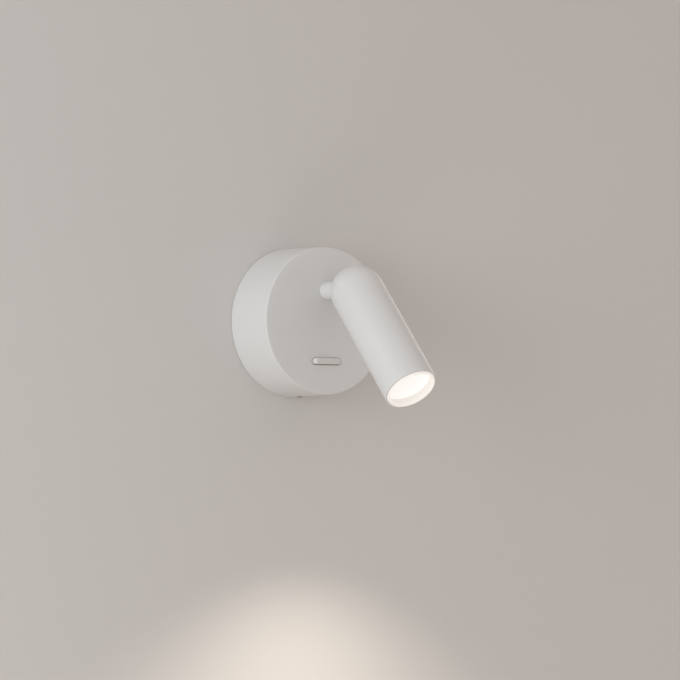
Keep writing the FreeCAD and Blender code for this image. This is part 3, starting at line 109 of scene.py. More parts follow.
class Seats:
    """Where the parts of the lamp sit, as matrices from their own millimetres to metres."""

    @staticmethod
    def at(origin: Sequence[float], across: Sequence[float], up: Sequence[float]) -> Matrix:
        """Make the matrix of a seat.

        Args:
            origin: The seat's own zero point, in millimetres.
            across: The direction of its x axis.
            up: The direction of its y axis.

        Returns:
            The matrix, which also turns millimetres into metres.
        """
        ahead = Vector(across).cross(Vector(up))
        turn = Matrix((across, up, ahead)).transposed().to_4x4()
        return Matrix.Translation(Vector(origin) * MM) @ turn @ Matrix.Scale(MM, 4)

    @classmethod
    def wall(cls, height: float = 0.0) -> Matrix:
        """Return the seat on the wall: x across, y up and z away from the wall."""
        return cls.at((0, 0, height), (1, 0, 0), (0, 0, 1))

    @classmethod
    def side(cls, from_wall: float, sign: int = 1) -> Matrix:
        """Return a seat in the base whose z axis points up for a sign of 1 and down for -1."""
        return cls.at((0, -from_wall, 0), (1, 0, 0), (0, sign, 0))

    @classmethod
    def rocker(cls, pivot: float, drop: float, throw: float) -> Matrix:
        """Return the seat of the rocker on its pin, its right end pressed by its throw."""
        tip = Matrix.Rotation(math.radians(throw), 3, "Z")
        return cls.at((0, -pivot, -drop), tip @ Vector((1, 0, 0)), (0, 0, 1))

    @classmethod
    def head(cls) -> Matrix:
        """Return the seat of the head, whose z axis runs along its tube from its dome's middle.

        Returns:
            The matrix of the seat.
        """
        sine = math.sin(math.radians(HEAD_TILT))
        cosine = math.cos(math.radians(HEAD_TILT))
        origin = (0, -PIVOT_REACH - PIVOT_SETBACK * sine, STEM_HEIGHT - PIVOT_SETBACK * cosine)
        return cls.at(origin, (1, 0, 0), (0, -cosine, sine))


@dataclass(frozen=True)
class Corner:
    """A corner of a profile: its distance from the axis, its height and its rounding."""

    radius: float
    height: float
    rounding: float = 0.0


class Shapes:
    """Mesh making: profiles, turned pieces, lofted pieces and cuts."""

    @staticmethod
    def rounded(corners: Sequence[Corner], closed: bool = False, steps: int = 6) -> list[Point]:
        """Round the corners of a profile.

        Args:
            corners: The corners in order.
            closed: Whether the last corner joins the first.
            steps: How many pieces each rounding has.

        Returns:
            The points of the rounded profile.
        """
        points: list[Point] = []
        last = len(corners) - 1
        for index, corner in enumerate(corners):
            here = Vector((corner.radius, corner.height))
            if corner.rounding <= 0 or (not closed and index in (0, last)):
                points.append((here.x, here.y))
                continue
            before = corners[index - 1]
            after = corners[(index + 1) % len(corners)]
            back = (Vector((before.radius, before.height)) - here).normalized()
            ahead = (Vector((after.radius, after.height)) - here).normalized()
            half = back.angle(ahead) / 2
            middle = here + (back + ahead).normalized() * corner.rounding / math.sin(half)
            start = here + back * corner.rounding / math.tan(half) - middle
            stop = here + ahead * corner.rounding / math.tan(half) - middle
            sweep = start.angle_signed(stop)
            for step in range(steps + 1):
                turned = start.copy()
                turned.rotate(Matrix.Rotation(-sweep * step / steps, 2))
                points.append((middle.x + turned.x, middle.y + turned.y))
        return points

    @staticmethod
    def dome(radius: float, middle: float, first: float, last: float,
             steps: int = 40) -> list[Point]:
        """Return points of an arc about the axis.

        Args:
            radius: The arc's radius.
            middle: The height of its middle.
            first: The angle from its pole at which it starts, in degrees.
            last: The angle at which it ends.
            steps: How many pieces it has.

        Returns:
            The arc's points.
        """
        angles = [math.radians(first + (last - first) * step / steps)
                  for step in range(steps + 1)]
        return [(radius * math.sin(angle), middle + radius * math.cos(angle))
                for angle in angles]

    @staticmethod
    def spaced(points: Sequence[Point], spacing: float, closed: bool = False) -> list[Point]:
        """Divide the long runs of a profile.

        Args:
            points: The profile's points.
            spacing: The longest run that may stay whole.
            closed: Whether the last point joins the first.

        Returns:
            The points with others put between them.
        """
        ring = list(points) + ([points[0]] if closed else [])
        result: list[Point] = []
        for first, second in zip(ring, ring[1:]):
            pieces = max(1, math.ceil(math.dist(first, second) / spacing))
            for step in range(pieces):
                share = step / pieces
                result.append((first[0] + (second[0] - first[0]) * share,
                               first[1] + (second[1] - first[1]) * share))
        if not closed:
            result.append(ring[-1])
        return result

    @staticmethod
    def turned(name: str, profile: Sequence[Point], seat: Matrix, closed: bool = False,
               sides: Sides = Sides.SMALL) -> Object:
        """Turn a profile about the z axis of a seat.

        Args:
            name: The new object's name.
            profile: Points as distance from the axis and height.
            seat: Where the piece sits.
            closed: Whether the profile is a closed loop.
            sides: How many sides the turned piece has.

        Returns:
            The new object.
        """
        shape = bmesh.new()
        rings = []
        for radius, height in profile:
            if radius < ON_AXIS:
                rings.append([shape.verts.new((0, 0, height))])
                continue
            rings.append([shape.verts.new((radius * math.cos(2 * math.pi * step / sides),
                                           radius * math.sin(2 * math.pi * step / sides),
                                           height)) for step in range(sides)])
        pairs = list(zip(rings, rings[1:]))
        if closed:
            pairs.append((rings[-1], rings[0]))
        for low, high in pairs:
            for step in range(sides):
                after = (step + 1) % sides
                face = [low[step % len(low)], low[after % len(low)],
                        high[after % len(high)], high[step % len(high)]]
                distinct = list(dict.fromkeys(face))
                if len(distinct) > 2:
                    shape.faces.new(distinct)
        return Shapes.finished(name, shape, seat)

    @staticmethod
    def pin(name: str, radius: float, low: float, high: float, seat: Matrix,
            sides: Sides = Sides.SMALL) -> Object:
        """Return a plain closed pin between two heights of a seat's z axis."""
        return Shapes.turned(name, [(0, low), (radius, low), (radius, high), (0, high)], seat,
                             sides=sides)

    @staticmethod
    def lofted(name: str, layers: Sequence[tuple[Sequence[Point], float]],
               seat: Matrix) -> Object:
        """Join outlines that lie over each other, and close both ends.

        Args:
            name: The new object's name.
            layers: Outlines with as many points each, and their heights.
            seat: Where the piece sits.

        Returns:
            The new object.
        """
        shape = bmesh.new()
        rings = [[shape.verts.new((x, y, height)) for x, y in outline]
                 for outline, height in layers]
        count = len(rings[0])
        for low, high in zip(rings, rings[1:]):
            for step in range(count):
                after = (step + 1) % count
                shape.faces.new((low[step], low[after], high[after], high[step]))
        shape.faces.new(list(reversed(rings[0])))
        shape.faces.new(rings[-1])
        return Shapes.finished(name, shape, seat)

    @staticmethod
    def finished(name: str, shape: bmesh.types.BMesh, seat: Matrix) -> Object:
        """Turn a bmesh into an object that sits in its place, with its normals outward.

        Args:
            name: The new object's name.
            shape: The bmesh, which is freed.
            seat: Where the piece sits.

        Returns:
            The new object.
        """
        bmesh.ops.recalc_face_normals(shape, faces=shape.faces)
        mesh = bpy.data.meshes.new(name)
        shape.to_mesh(mesh)
        shape.free()
        mesh.transform(seat)
        piece = bpy.data.objects.new(name, mesh)
        bpy.context.scene.collection.objects.link(piece)
        return piece

    @staticmethod
    def stadium(length: float, width: float, up: float = 0.0, steps: int = 16) -> list[Point]:
        """Return the outline of a bar with round ends.

        Args:
            length: Its whole length.
            width: Its width.
            up: The y of its middle.
            steps: How many pieces each round end has.

        Returns:
            The outline's points.
        """
        points = []
        for side, start in ((1, -90), (-1, 90)):
            for step in range(steps + 1):
                angle = math.radians(start + 180 * step / steps)
                points.append((side * (length - width) / 2 + width / 2 * math.cos(angle),
                               up + width / 2 * math.sin(angle)))
        return points

    @staticmethod
    def arch(half: float, low: float, spring: float, steps: int = 48) -> list[Point]:
        """Return the outline of a slot that is open below and round above its spring line.

        Args:
            half: Half its width.
            low: The y of its open end.
            spring: The y at which its round end starts.
            steps: How many pieces the round end has.

        Returns:
            The outline's points.
        """
        points = [(-half, low), (half, low)]
        for step in range(steps + 1):
            angle = math.pi * step / steps
            points.append((half * math.cos(angle), spring + half * math.sin(angle)))
        return points

    @staticmethod
    def box(low: Sequence[float], high: Sequence[float], seat: Matrix) -> Object:
        """Return a plain box between two corners, to cut with."""
        outline = [(low[0], low[1]), (high[0], low[1]), (high[0], high[1]), (low[0], high[1])]
        return Shapes.lofted("cutter", [(outline, low[2]), (outline, high[2])], seat)

    @staticmethod
    def cut(piece: Object, cutters: Sequence[Object]) -> None:
        """Cut a piece with others, which are then deleted.

        Args:
            piece: The piece to cut.
            cutters: The closed meshes to cut it with.
        """
        for cutter in cutters:
            step = piece.modifiers.new("cut", "BOOLEAN")
            step.operation = "DIFFERENCE"
            step.solver = "EXACT"
            step.object = cutter
        bpy.context.view_layer.update()
        depsgraph = bpy.context.evaluated_depsgraph_get()
        mesh = bpy.data.meshes.new_from_object(piece.evaluated_get(depsgraph))
        piece.modifiers.clear()
        piece.data = mesh
        for cutter in cutters:
            bpy.data.objects.remove(cutter)

    @staticmethod
    def joined(pieces: Sequence[Object]) -> Object:
        """Join pieces into the first one.

        Args:
            pieces: The pieces, all of which but the first are deleted.

        Returns:
            The first piece.
        """
        shape = bmesh.new()
        for piece in pieces:
            shape.from_mesh(piece.data)
        shape.to_mesh(pieces[0].data)
        shape.free()
        for piece in pieces[1:]:
            bpy.data.objects.remove(piece)
        return pieces[0]

    @staticmethod
    def smooth(piece: Object, angle: float = 28.0) -> None:
        """Shade a piece smooth, with edges sharper than an angle in degrees left sharp."""
        piece.data.polygons.foreach_set("use_smooth", [True] * len(piece.data.polygons))
        piece.data.set_sharp_from_angle(angle=math.radians(angle))


class Wiring:
    """Short ways to put shader nodes into a tree and feed them."""

    @staticmethod
    def feed(tree: Tree, value: Term, socket: Socket) -> None:
        """Link a socket to another one, or give it a number, a colour or a vector.

        Args:
            tree: The tree that holds the socket.
            value: The other socket or the value.
            socket: The socket to feed.
        """
        if isinstance(value, Socket):
            tree.links.new(value, socket)
        else:
            socket.default_value = value

    @staticmethod
    def places(tree: Tree) -> Socket:
        """Return a socket with the object's own coordinates."""
        return tree.nodes.new("ShaderNodeTexCoord").outputs["Object"]

    @staticmethod
    def facing(tree: Tree, axis: int) -> Socket:
        """Return a socket with the part of the surface's normal along one axis.

        Args:
            tree: The tree to add it to.
            axis: 0, 1 or 2 for x, y or z.

        Returns:
            The socket.
        """
        geometry = tree.nodes.new("ShaderNodeNewGeometry")
        parts = tree.nodes.new("ShaderNodeSeparateXYZ")
        tree.links.new(geometry.outputs["Normal"], parts.inputs[0])
        return parts.outputs[axis]

    @staticmethod
    def noise(tree: Tree, scale: Term, detail: float, vector: Socket | None = None) -> Socket:
        """Add a noise texture.

        Args:
            tree: The tree to add it to.
            scale: A number, or the socket that gives the scale.
            detail: How many finer layers it has.
            vector: The socket to read places from, or None for the object's own.

        Returns:
            The socket of its value.
        """
        texture = tree.nodes.new("ShaderNodeTexNoise")
        texture.inputs["Detail"].default_value = detail
        if vector is None:
            vector = Wiring.places(tree)
        tree.links.new(vector, texture.inputs["Vector"])
        Wiring.feed(tree, scale, texture.inputs["Scale"])
        return texture.outputs[0]

    @staticmethod
    def math(tree: Tree, operation: str, *terms: Term) -> Socket:
        """Add a sum with numbers.

        Args:
            tree: The tree to add it to.
            operation: The node's operation.
            terms: Numbers or sockets.

        Returns:
            The socket of the result.
        """
        node = tree.nodes.new("ShaderNodeMath")
        node.operation = operation
        for socket, term in zip(node.inputs, terms):
            Wiring.feed(tree, term, socket)
        return node.outputs[0]

    @staticmethod
    def vectors(tree: Tree, operation: str, *terms: Term) -> Node:
        """Add a sum with vectors.

        Args:
            tree: The tree to add it to.
            operation: The node's operation.
            terms: Vectors or sockets.

        Returns:
            The node, whose output is a vector or, by name, a value.
        """
        node = tree.nodes.new("ShaderNodeVectorMath")
        node.operation = operation
        for socket, term in zip(node.inputs, terms):
            Wiring.feed(tree, term, socket)
        return node

    @staticmethod
    def blend(tree: Tree, share: Term, first: Term, second: Term) -> Socket:
        """Mix two colours.

        Args:
            tree: The tree to add it to.
            share: How much of the second colour shows.
            first: The first colour.
            second: The second colour.

        Returns:
            The socket of the mixed colour.
        """
        node = tree.nodes.new("ShaderNodeMix")
        node.data_type = "RGBA"
        for index, term in ((0, share), (6, first), (7, second)):
            Wiring.feed(tree, term, node.inputs[index])
        return node.outputs[2]

    @staticmethod
    def place(tree: Tree, group: Tree, **values: Term) -> Node:
        """Put a shared effect into a material.

        Args:
            tree: The material's node tree.
            group: The effect's node group.
            values: Numbers, colours or sockets for its inputs.

        Returns:
            The group node.
        """
        node = tree.nodes.new("ShaderNodeGroup")
        node.node_tree = group
        for label, value in values.items():
            Wiring.feed(tree, value, node.inputs[label])
        return node


class Effects:
    """Shader node groups that several finishes share, each built once."""

    COARSE_DETAIL = 2.0
    CLOUD_DETAIL = 3.0
    FINE_DETAIL = 4.0
    SPECK_DETAIL = 5.0
    SPECK_SCALE = 700.0
    FINER_GLOSS = 6.3
    FINER_GRAIN = 3.7
    FINE_SHARE = 0.3
    DUST_POWER = 2.0
    RUB_RADIUS = 0.0003
    RUB_SAMPLES = 4
    RUB_GAIN = 6.0

    @staticmethod
    def start(name: str, inputs: dict[str, Term], *outputs: str) -> tuple[Tree, Node, Node]:
        """Start a node group with named sockets.

        Args:
            name: The group's name.
            inputs: Each input's name and default, a number, a colour or a vector.
            outputs: The outputs' names, of which Color is a colour and the others are numbers.

        Returns:
            The group, its input node and its output node.
        """
        tree = bpy.data.node_groups.new(name, "ShaderNodeTree")
        for label, default in inputs.items():
            kind = "NodeSocketFloat"
            if isinstance(default, tuple):
                kind = "NodeSocketColor" if len(default) == 4 else "NodeSocketVector"
            socket = tree.interface.new_socket(label, in_out="INPUT", socket_type=kind)
            socket.default_value = default
        for label in outputs:
            kind = "NodeSocketColor" if label == "Color" else "NodeSocketFloat"
            tree.interface.new_socket(label, in_out="OUTPUT", socket_type=kind)
        return tree, tree.nodes.new("NodeGroupInput"), tree.nodes.new("NodeGroupOutput")

    @classmethod
    @cache
    def mottle(cls) -> Tree:
        """Build the group that lets a colour and its gloss drift over the surface.

        Returns:
            The group.
        """
        tree, inside, out = cls.start(
            "mottle",
            {"Color": (0.8, 0.8, 0.8, 1.0), "Tint": (0.7, 0.7, 0.7, 1.0), "Amount": 0.1,
             "Scale": 60.0, "Roughness": 0.5, "Spread": 0.05}, "Color", "Roughness")
        given = inside.outputs
        finer = Wiring.math(tree, "MULTIPLY", given["Scale"], cls.FINER_GLOSS)
        cloud = Wiring.noise(tree, given["Scale"], cls.CLOUD_DETAIL)
        fine = Wiring.noise(tree, finer, cls.FINE_DETAIL)
        share = Wiring.math(tree, "MULTIPLY", cloud, given["Amount"])
        color = Wiring.blend(tree, share, given["Color"], given["Tint"])
        centred = Wiring.math(tree, "SUBTRACT", Wiring.math(tree, "ADD", cloud, fine), 1.0)
        spread = Wiring.math(tree, "MULTIPLY", centred, given["Spread"])
        rough = Wiring.math(tree, "ADD", spread, given["Roughness"])
        tree.links.new(color, out.inputs["Color"])
        tree.links.new(rough, out.inputs["Roughness"])
        return tree

    @classmethod
    @cache
    def dust(cls) -> Tree:
        """Build the group that lays fine dust where a surface faces up.

        Returns:
            The group.
        """
        tree, inside, out = cls.start(
            "settled_dust",
            {"Color": (0.8, 0.8, 0.8, 1.0), "Dust": (0.55, 0.52, 0.47, 1.0), "Amount": 0.1,
             "Roughness": 0.5}, "Color", "Roughness")
        upward = Wiring.math(tree, "MAXIMUM", Wiring.facing(tree, 2), 0.0)
        settled = Wiring.math(tree, "POWER", upward, cls.DUST_POWER)
        specks = Wiring.noise(tree, cls.SPECK_SCALE, cls.SPECK_DETAIL)
        patchy = Wiring.math(tree, "MULTIPLY", settled, specks)
        share = Wiring.math(tree, "MULTIPLY", patchy, inside.outputs["Amount"])
        color = Wiring.blend(tree, share, inside.outputs["Color"], inside.outputs["Dust"])
        rough = Wiring.math(tree, "ADD", inside.outputs["Roughness"], share)
        tree.links.new(color, out.inputs["Color"])
        tree.links.new(rough, out.inputs["Roughness"])
        return tree

    @classmethod
    @cache
    def edge_rub(cls) -> Tree:
        """Build the group that marks rubbed edges, broken up by noise.

        Returns:
            The group.
        """
        tree, inside, out = cls.start("edge_rub", {"Amount": 0.5, "Scale": 900.0}, "Mask")
        bevel = tree.nodes.new("ShaderNodeBevel")
        bevel.samples = cls.RUB_SAMPLES
        bevel.inputs["Radius"].default_value = cls.RUB_RADIUS
        geometry = tree.nodes.new("ShaderNodeNewGeometry")
        same = Wiring.vectors(tree, "DOT_PRODUCT", bevel.outputs["Normal"],
                              geometry.outputs["Normal"])
        bend = Wiring.math(tree, "SUBTRACT", 1.0, same.outputs["Value"])
        wide = Wiring.math(tree, "MULTIPLY", bend, cls.RUB_GAIN)
        cloud = Wiring.noise(tree, inside.outputs["Scale"], cls.FINE_DETAIL)
        broken = Wiring.math(tree, "MULTIPLY", wide, cloud)
        mask = Wiring.math(tree, "MULTIPLY", broken, inside.outputs["Amount"])
        tree.links.new(Wiring.math(tree, "MINIMUM", mask, 1.0), out.inputs["Mask"])
        return tree

    @classmethod
    @cache
    def grain(cls) -> Tree:
        """Build the group that gives a fine relief, which can be drawn out along a line.

        Returns:
            The group.
        """
        tree, inside, out = cls.start(
            "grain", {"Scale": 900.0, "Stretch": (1.0, 1.0, 1.0), "Sharpness": 1.0}, "Height")
        given = inside.outputs
        drawn = Wiring.vectors(tree, "MULTIPLY", Wiring.places(tree), given["Stretch"])
        finer = Wiring.math(tree, "MULTIPLY", given["Scale"], cls.FINER_GRAIN)
        coarse = Wiring.noise(tree, given["Scale"], cls.COARSE_DETAIL, drawn.outputs[0])
        fine = Wiring.noise(tree, finer, cls.CLOUD_DETAIL, drawn.outputs[0])
        weighted = Wiring.math(tree, "MULTIPLY", fine, cls.FINE_SHARE)
        both = Wiring.math(tree, "ADD", coarse, weighted)
        tree.links.new(Wiring.math(tree, "POWER", both, given["Sharpness"]),
                       out.inputs["Height"])
        return tree

    @classmethod
    @cache
    def turned_marks(cls) -> Tree:
        """Build the group that gives the rings which a lathe leaves round an axis.

        Returns:
            The group.
        """
        tree, inside, out = cls.start(
            "turned_marks",
            {"Centre": (0.0, 0.0, 0.0), "Axis": (0.0, 1.0, 0.0), "Scale": 4000.0}, "Height")
        given = inside.outputs
        offset = Wiring.vectors(tree, "SUBTRACT", Wiring.places(tree), given["Centre"])
        around = Wiring.vectors(tree, "CROSS_PRODUCT", offset.outputs[0], given["Axis"])
        along = Wiring.vectors(tree, "DOT_PRODUCT", offset.outputs[0], given["Axis"])
        away = Wiring.vectors(tree, "LENGTH", around.outputs[0])
        place = Wiring.math(tree, "ADD", away.outputs["Value"], along.outputs["Value"])
        rings = tree.nodes.new("ShaderNodeTexNoise")
        rings.noise_dimensions = "1D"
        rings.inputs["Detail"].default_value = cls.CLOUD_DETAIL
        tree.links.new(place, rings.inputs["W"])
        tree.links.new(given["Scale"], rings.inputs["Scale"])
        tree.links.new(rings.outputs[0], out.inputs["Height"])
        return tree


@dataclass(frozen=True)
class Finish:
    """A surface finish with its own drift of colour, gloss, relief, rubbed edges and dust."""

    slot: str
    color: Color
    roughness: float
    metallic: float = 0.0
    tint: Color = (0.6, 0.6, 0.6)
    drift: float = 0.08
    drift_scale: float = 70.0
    spread: float = 0.06
    relief: Relief = Relief.SPARK
    relief_scale: float = 2500.0
    relief_depth: float = 0.000004
    stretch: Place = (1.0, 1.0, 1.0)
    centre: Place = (0.0, 0.0, 0.0)
    axis: Place = (0.0, 1.0, 0.0)
    rub: float = 0.0
    rub_color: Color = (0.9, 0.9, 0.9)
    dust: float = 0.15
    coat: float = 0.0
    subsurface: float = 0.0
    subsurface_reach: float = 0.0015

    def paint(self, tree: Tree) -> tuple[Socket, Socket]:
        """Add the finish's drift, rubbed edges and dust.

        Args:
            tree: The material's node tree.

        Returns:
            The sockets of its colour and its roughness.
        """
        drifted = Wiring.place(tree, Effects.mottle(), Color=(*self.color, 1.0),
                               Tint=(*self.tint, 1.0), Amount=self.drift,
                               Scale=self.drift_scale, Roughness=self.roughness,
                               Spread=self.spread)
        color, rough = drifted.outputs["Color"], drifted.outputs["Roughness"]
        if self.rub > 0:
            worn = Wiring.place(tree, Effects.edge_rub(), Amount=self.rub)
            color = Wiring.blend(tree, worn.outputs["Mask"], color, (*self.rub_color, 1.0))
        if self.dust > 0:
            dusty = Wiring.place(tree, Effects.dust(), Color=color, Amount=self.dust,
                                 Roughness=rough)
            color, rough = dusty.outputs["Color"], dusty.outputs["Roughness"]
        return color, rough

    def height(self, tree: Tree) -> Socket:
        """Add the finish's relief.

        Args:
            tree: The material's node tree.

        Returns:
            The socket of its height.
        """
        if self.relief is Relief.TURNED:
            marks = Wiring.place(tree, Effects.turned_marks(), Centre=self.centre,
                                 Axis=self.axis, Scale=self.relief_scale)
            return marks.outputs["Height"]
        sharpness = {Relief.CAST: 2.0, Relief.SPARK: 1.4}.get(self.relief, 1.0)
        grain = Wiring.place(tree, Effects.grain(), Scale=self.relief_scale,
                             Stretch=self.stretch, Sharpness=sharpness)
        return grain.outputs["Height"]

    def build(self) -> bpy.types.Material:
        """Make the finish's material the first time it is asked for.

        Returns:
            The material.
        """
        name = f"{self.slot}_finish"
        if name in bpy.data.materials:
            return bpy.data.materials[name]
        material = bpy.data.materials.new(name)
        material.use_nodes = True
        tree = material.node_tree
        shader = tree.nodes["Principled BSDF"]
        shader.inputs["Metallic"].default_value = self.metallic
        shader.inputs["Coat Weight"].default_value = self.coat
        shader.inputs["Subsurface Weight"].default_value = self.subsurface
        shader.inputs["Subsurface Scale"].default_value = self.subsurface_reach
        color, rough = self.paint(tree)
        tree.links.new(color, shader.inputs["Base Color"])
        tree.links.new(rough, shader.inputs["Roughness"])
        bump = tree.nodes.new("ShaderNodeBump")
        bump.inputs["Distance"].default_value = self.relief_depth
        tree.links.new(self.height(tree), bump.inputs["Height"])
        tree.links.new(bump.outputs["Normal"], shader.inputs["Normal"])
        self.extra(tree, shader)
        return material

    def extra(self, tree: Tree, shader: Node) -> None:
        """Add what only some finishes have."""


@dataclass(frozen=True)
class Wire(Finish):
    """Wire insulation."""

    roughness: float = 0.38
    relief: Relief = Relief.PEEL
    relief_scale: float = 1200.0
    coat: float = 0.15


@dataclass(frozen=True)
class StripedWire(Wire):
    """Wire insulation with a stripe of a second colour along its side."""

    stripe: Color = (0.62, 0.55, 0.03)
    stripe_edge: float = 0.35

    def paint(self, tree: Tree) -> tuple[Socket, Socket]:
        """Add the stripe to the insulation.

        Args:
            tree: The material's node tree.

        Returns:
            The sockets of the striped colour and the roughness.
        """
        color, rough = Finish.paint(self, tree)
        share = Wiring.math(tree, "GREATER_THAN", Wiring.facing(tree, 1), self.stripe_edge)
        return Wiring.blend(tree, share, color, (*self.stripe, 1.0)), rough


@dataclass(frozen=True)
class PrintedBoard(Finish):
    """A circuit board with tracks that show through its mask."""

    track: Color = (0.1, 0.32, 0.16)
    track_width: float = 0.06
    pitch: float = 420.0

    def paint(self, tree: Tree) -> tuple[Socket, Socket]:
        """Add the tracks to the mask.

        Args:
            tree: The material's node tree.

        Returns:
            The sockets of the mask's colour with its tracks and of the roughness.
        """
        color, rough = Finish.paint(self, tree)
        tracks = tree.nodes.new("ShaderNodeTexBrick")
        tracks.inputs["Scale"].default_value = self.pitch
        tracks.inputs["Mortar Size"].default_value = self.track_width
        tree.links.new(Wiring.places(tree), tracks.inputs["Vector"])
        return Wiring.blend(tree, tracks.outputs["Fac"], color, (*self.track, 1.0)), rough


@dataclass(frozen=True)
class LitOpal(Finish):
    """A frosted piece that glows, its glow changing from its middle outward; on the mouth ring
    this glow is painted light from the disc.
    """

    centre_glow: Color = (1.0, 0.985, 0.95)
    rim_glow: Color = (1.0, 0.93, 0.82)
    strength: float = 1.0
    middle: Place = (0.0, 0.0, 0.0)
    reach: float = 0.014
    falloff: float = 3.0

    def extra(self, tree: Tree, shader: Node) -> None:
        """Let the piece glow.

        Args:
            tree: The material's node tree.
            shader: Its shader.
        """
        far = Wiring.vectors(tree, "DISTANCE", Wiring.places(tree), self.middle)
        share = Wiring.math(tree, "DIVIDE", far.outputs["Value"], self.reach)
        steep = Wiring.math(tree, "POWER", share, self.falloff)
        capped = Wiring.math(tree, "MINIMUM", steep, 1.0)
        glow = Wiring.blend(tree, capped, (*self.centre_glow, 1.0), (*self.rim_glow, 1.0))
        tree.links.new(glow, shader.inputs["Emission Color"])
        shader.inputs["Emission Strength"].default_value = self.strength


@dataclass(frozen=True)
class PlasterWall(Finish):
    """The painted wall: matte from the front and clear from behind."""

    def extra(self, tree: Tree, shader: Node) -> None:
        """Let what is behind the wall's back be seen through it.

        Args:
            tree: The material's node tree.
            shader: Its shader.
        """
        clear = tree.nodes.new("ShaderNodeBsdfTransparent")
        mixed = tree.nodes.new("ShaderNodeMixShader")
        geometry = tree.nodes.new("ShaderNodeNewGeometry")
        tree.links.new(geometry.outputs["Backfacing"], mixed.inputs[0])
        tree.links.new(shader.outputs[0], mixed.inputs[1])
        tree.links.new(clear.outputs[0], mixed.inputs[2])
        tree.links.new(mixed.outputs[0], tree.nodes["Material Output"].inputs["Surface"])


HEAD_SEAT = Seats.head()
HEAD_MIDDLE = tuple(HEAD_SEAT.translation)
HEAD_AXIS = tuple(HEAD_SEAT.to_3x3().col[2].normalized())
DISC_MIDDLE = tuple(HEAD_SEAT @ Vector((0, 0, DISC_FRONT)))


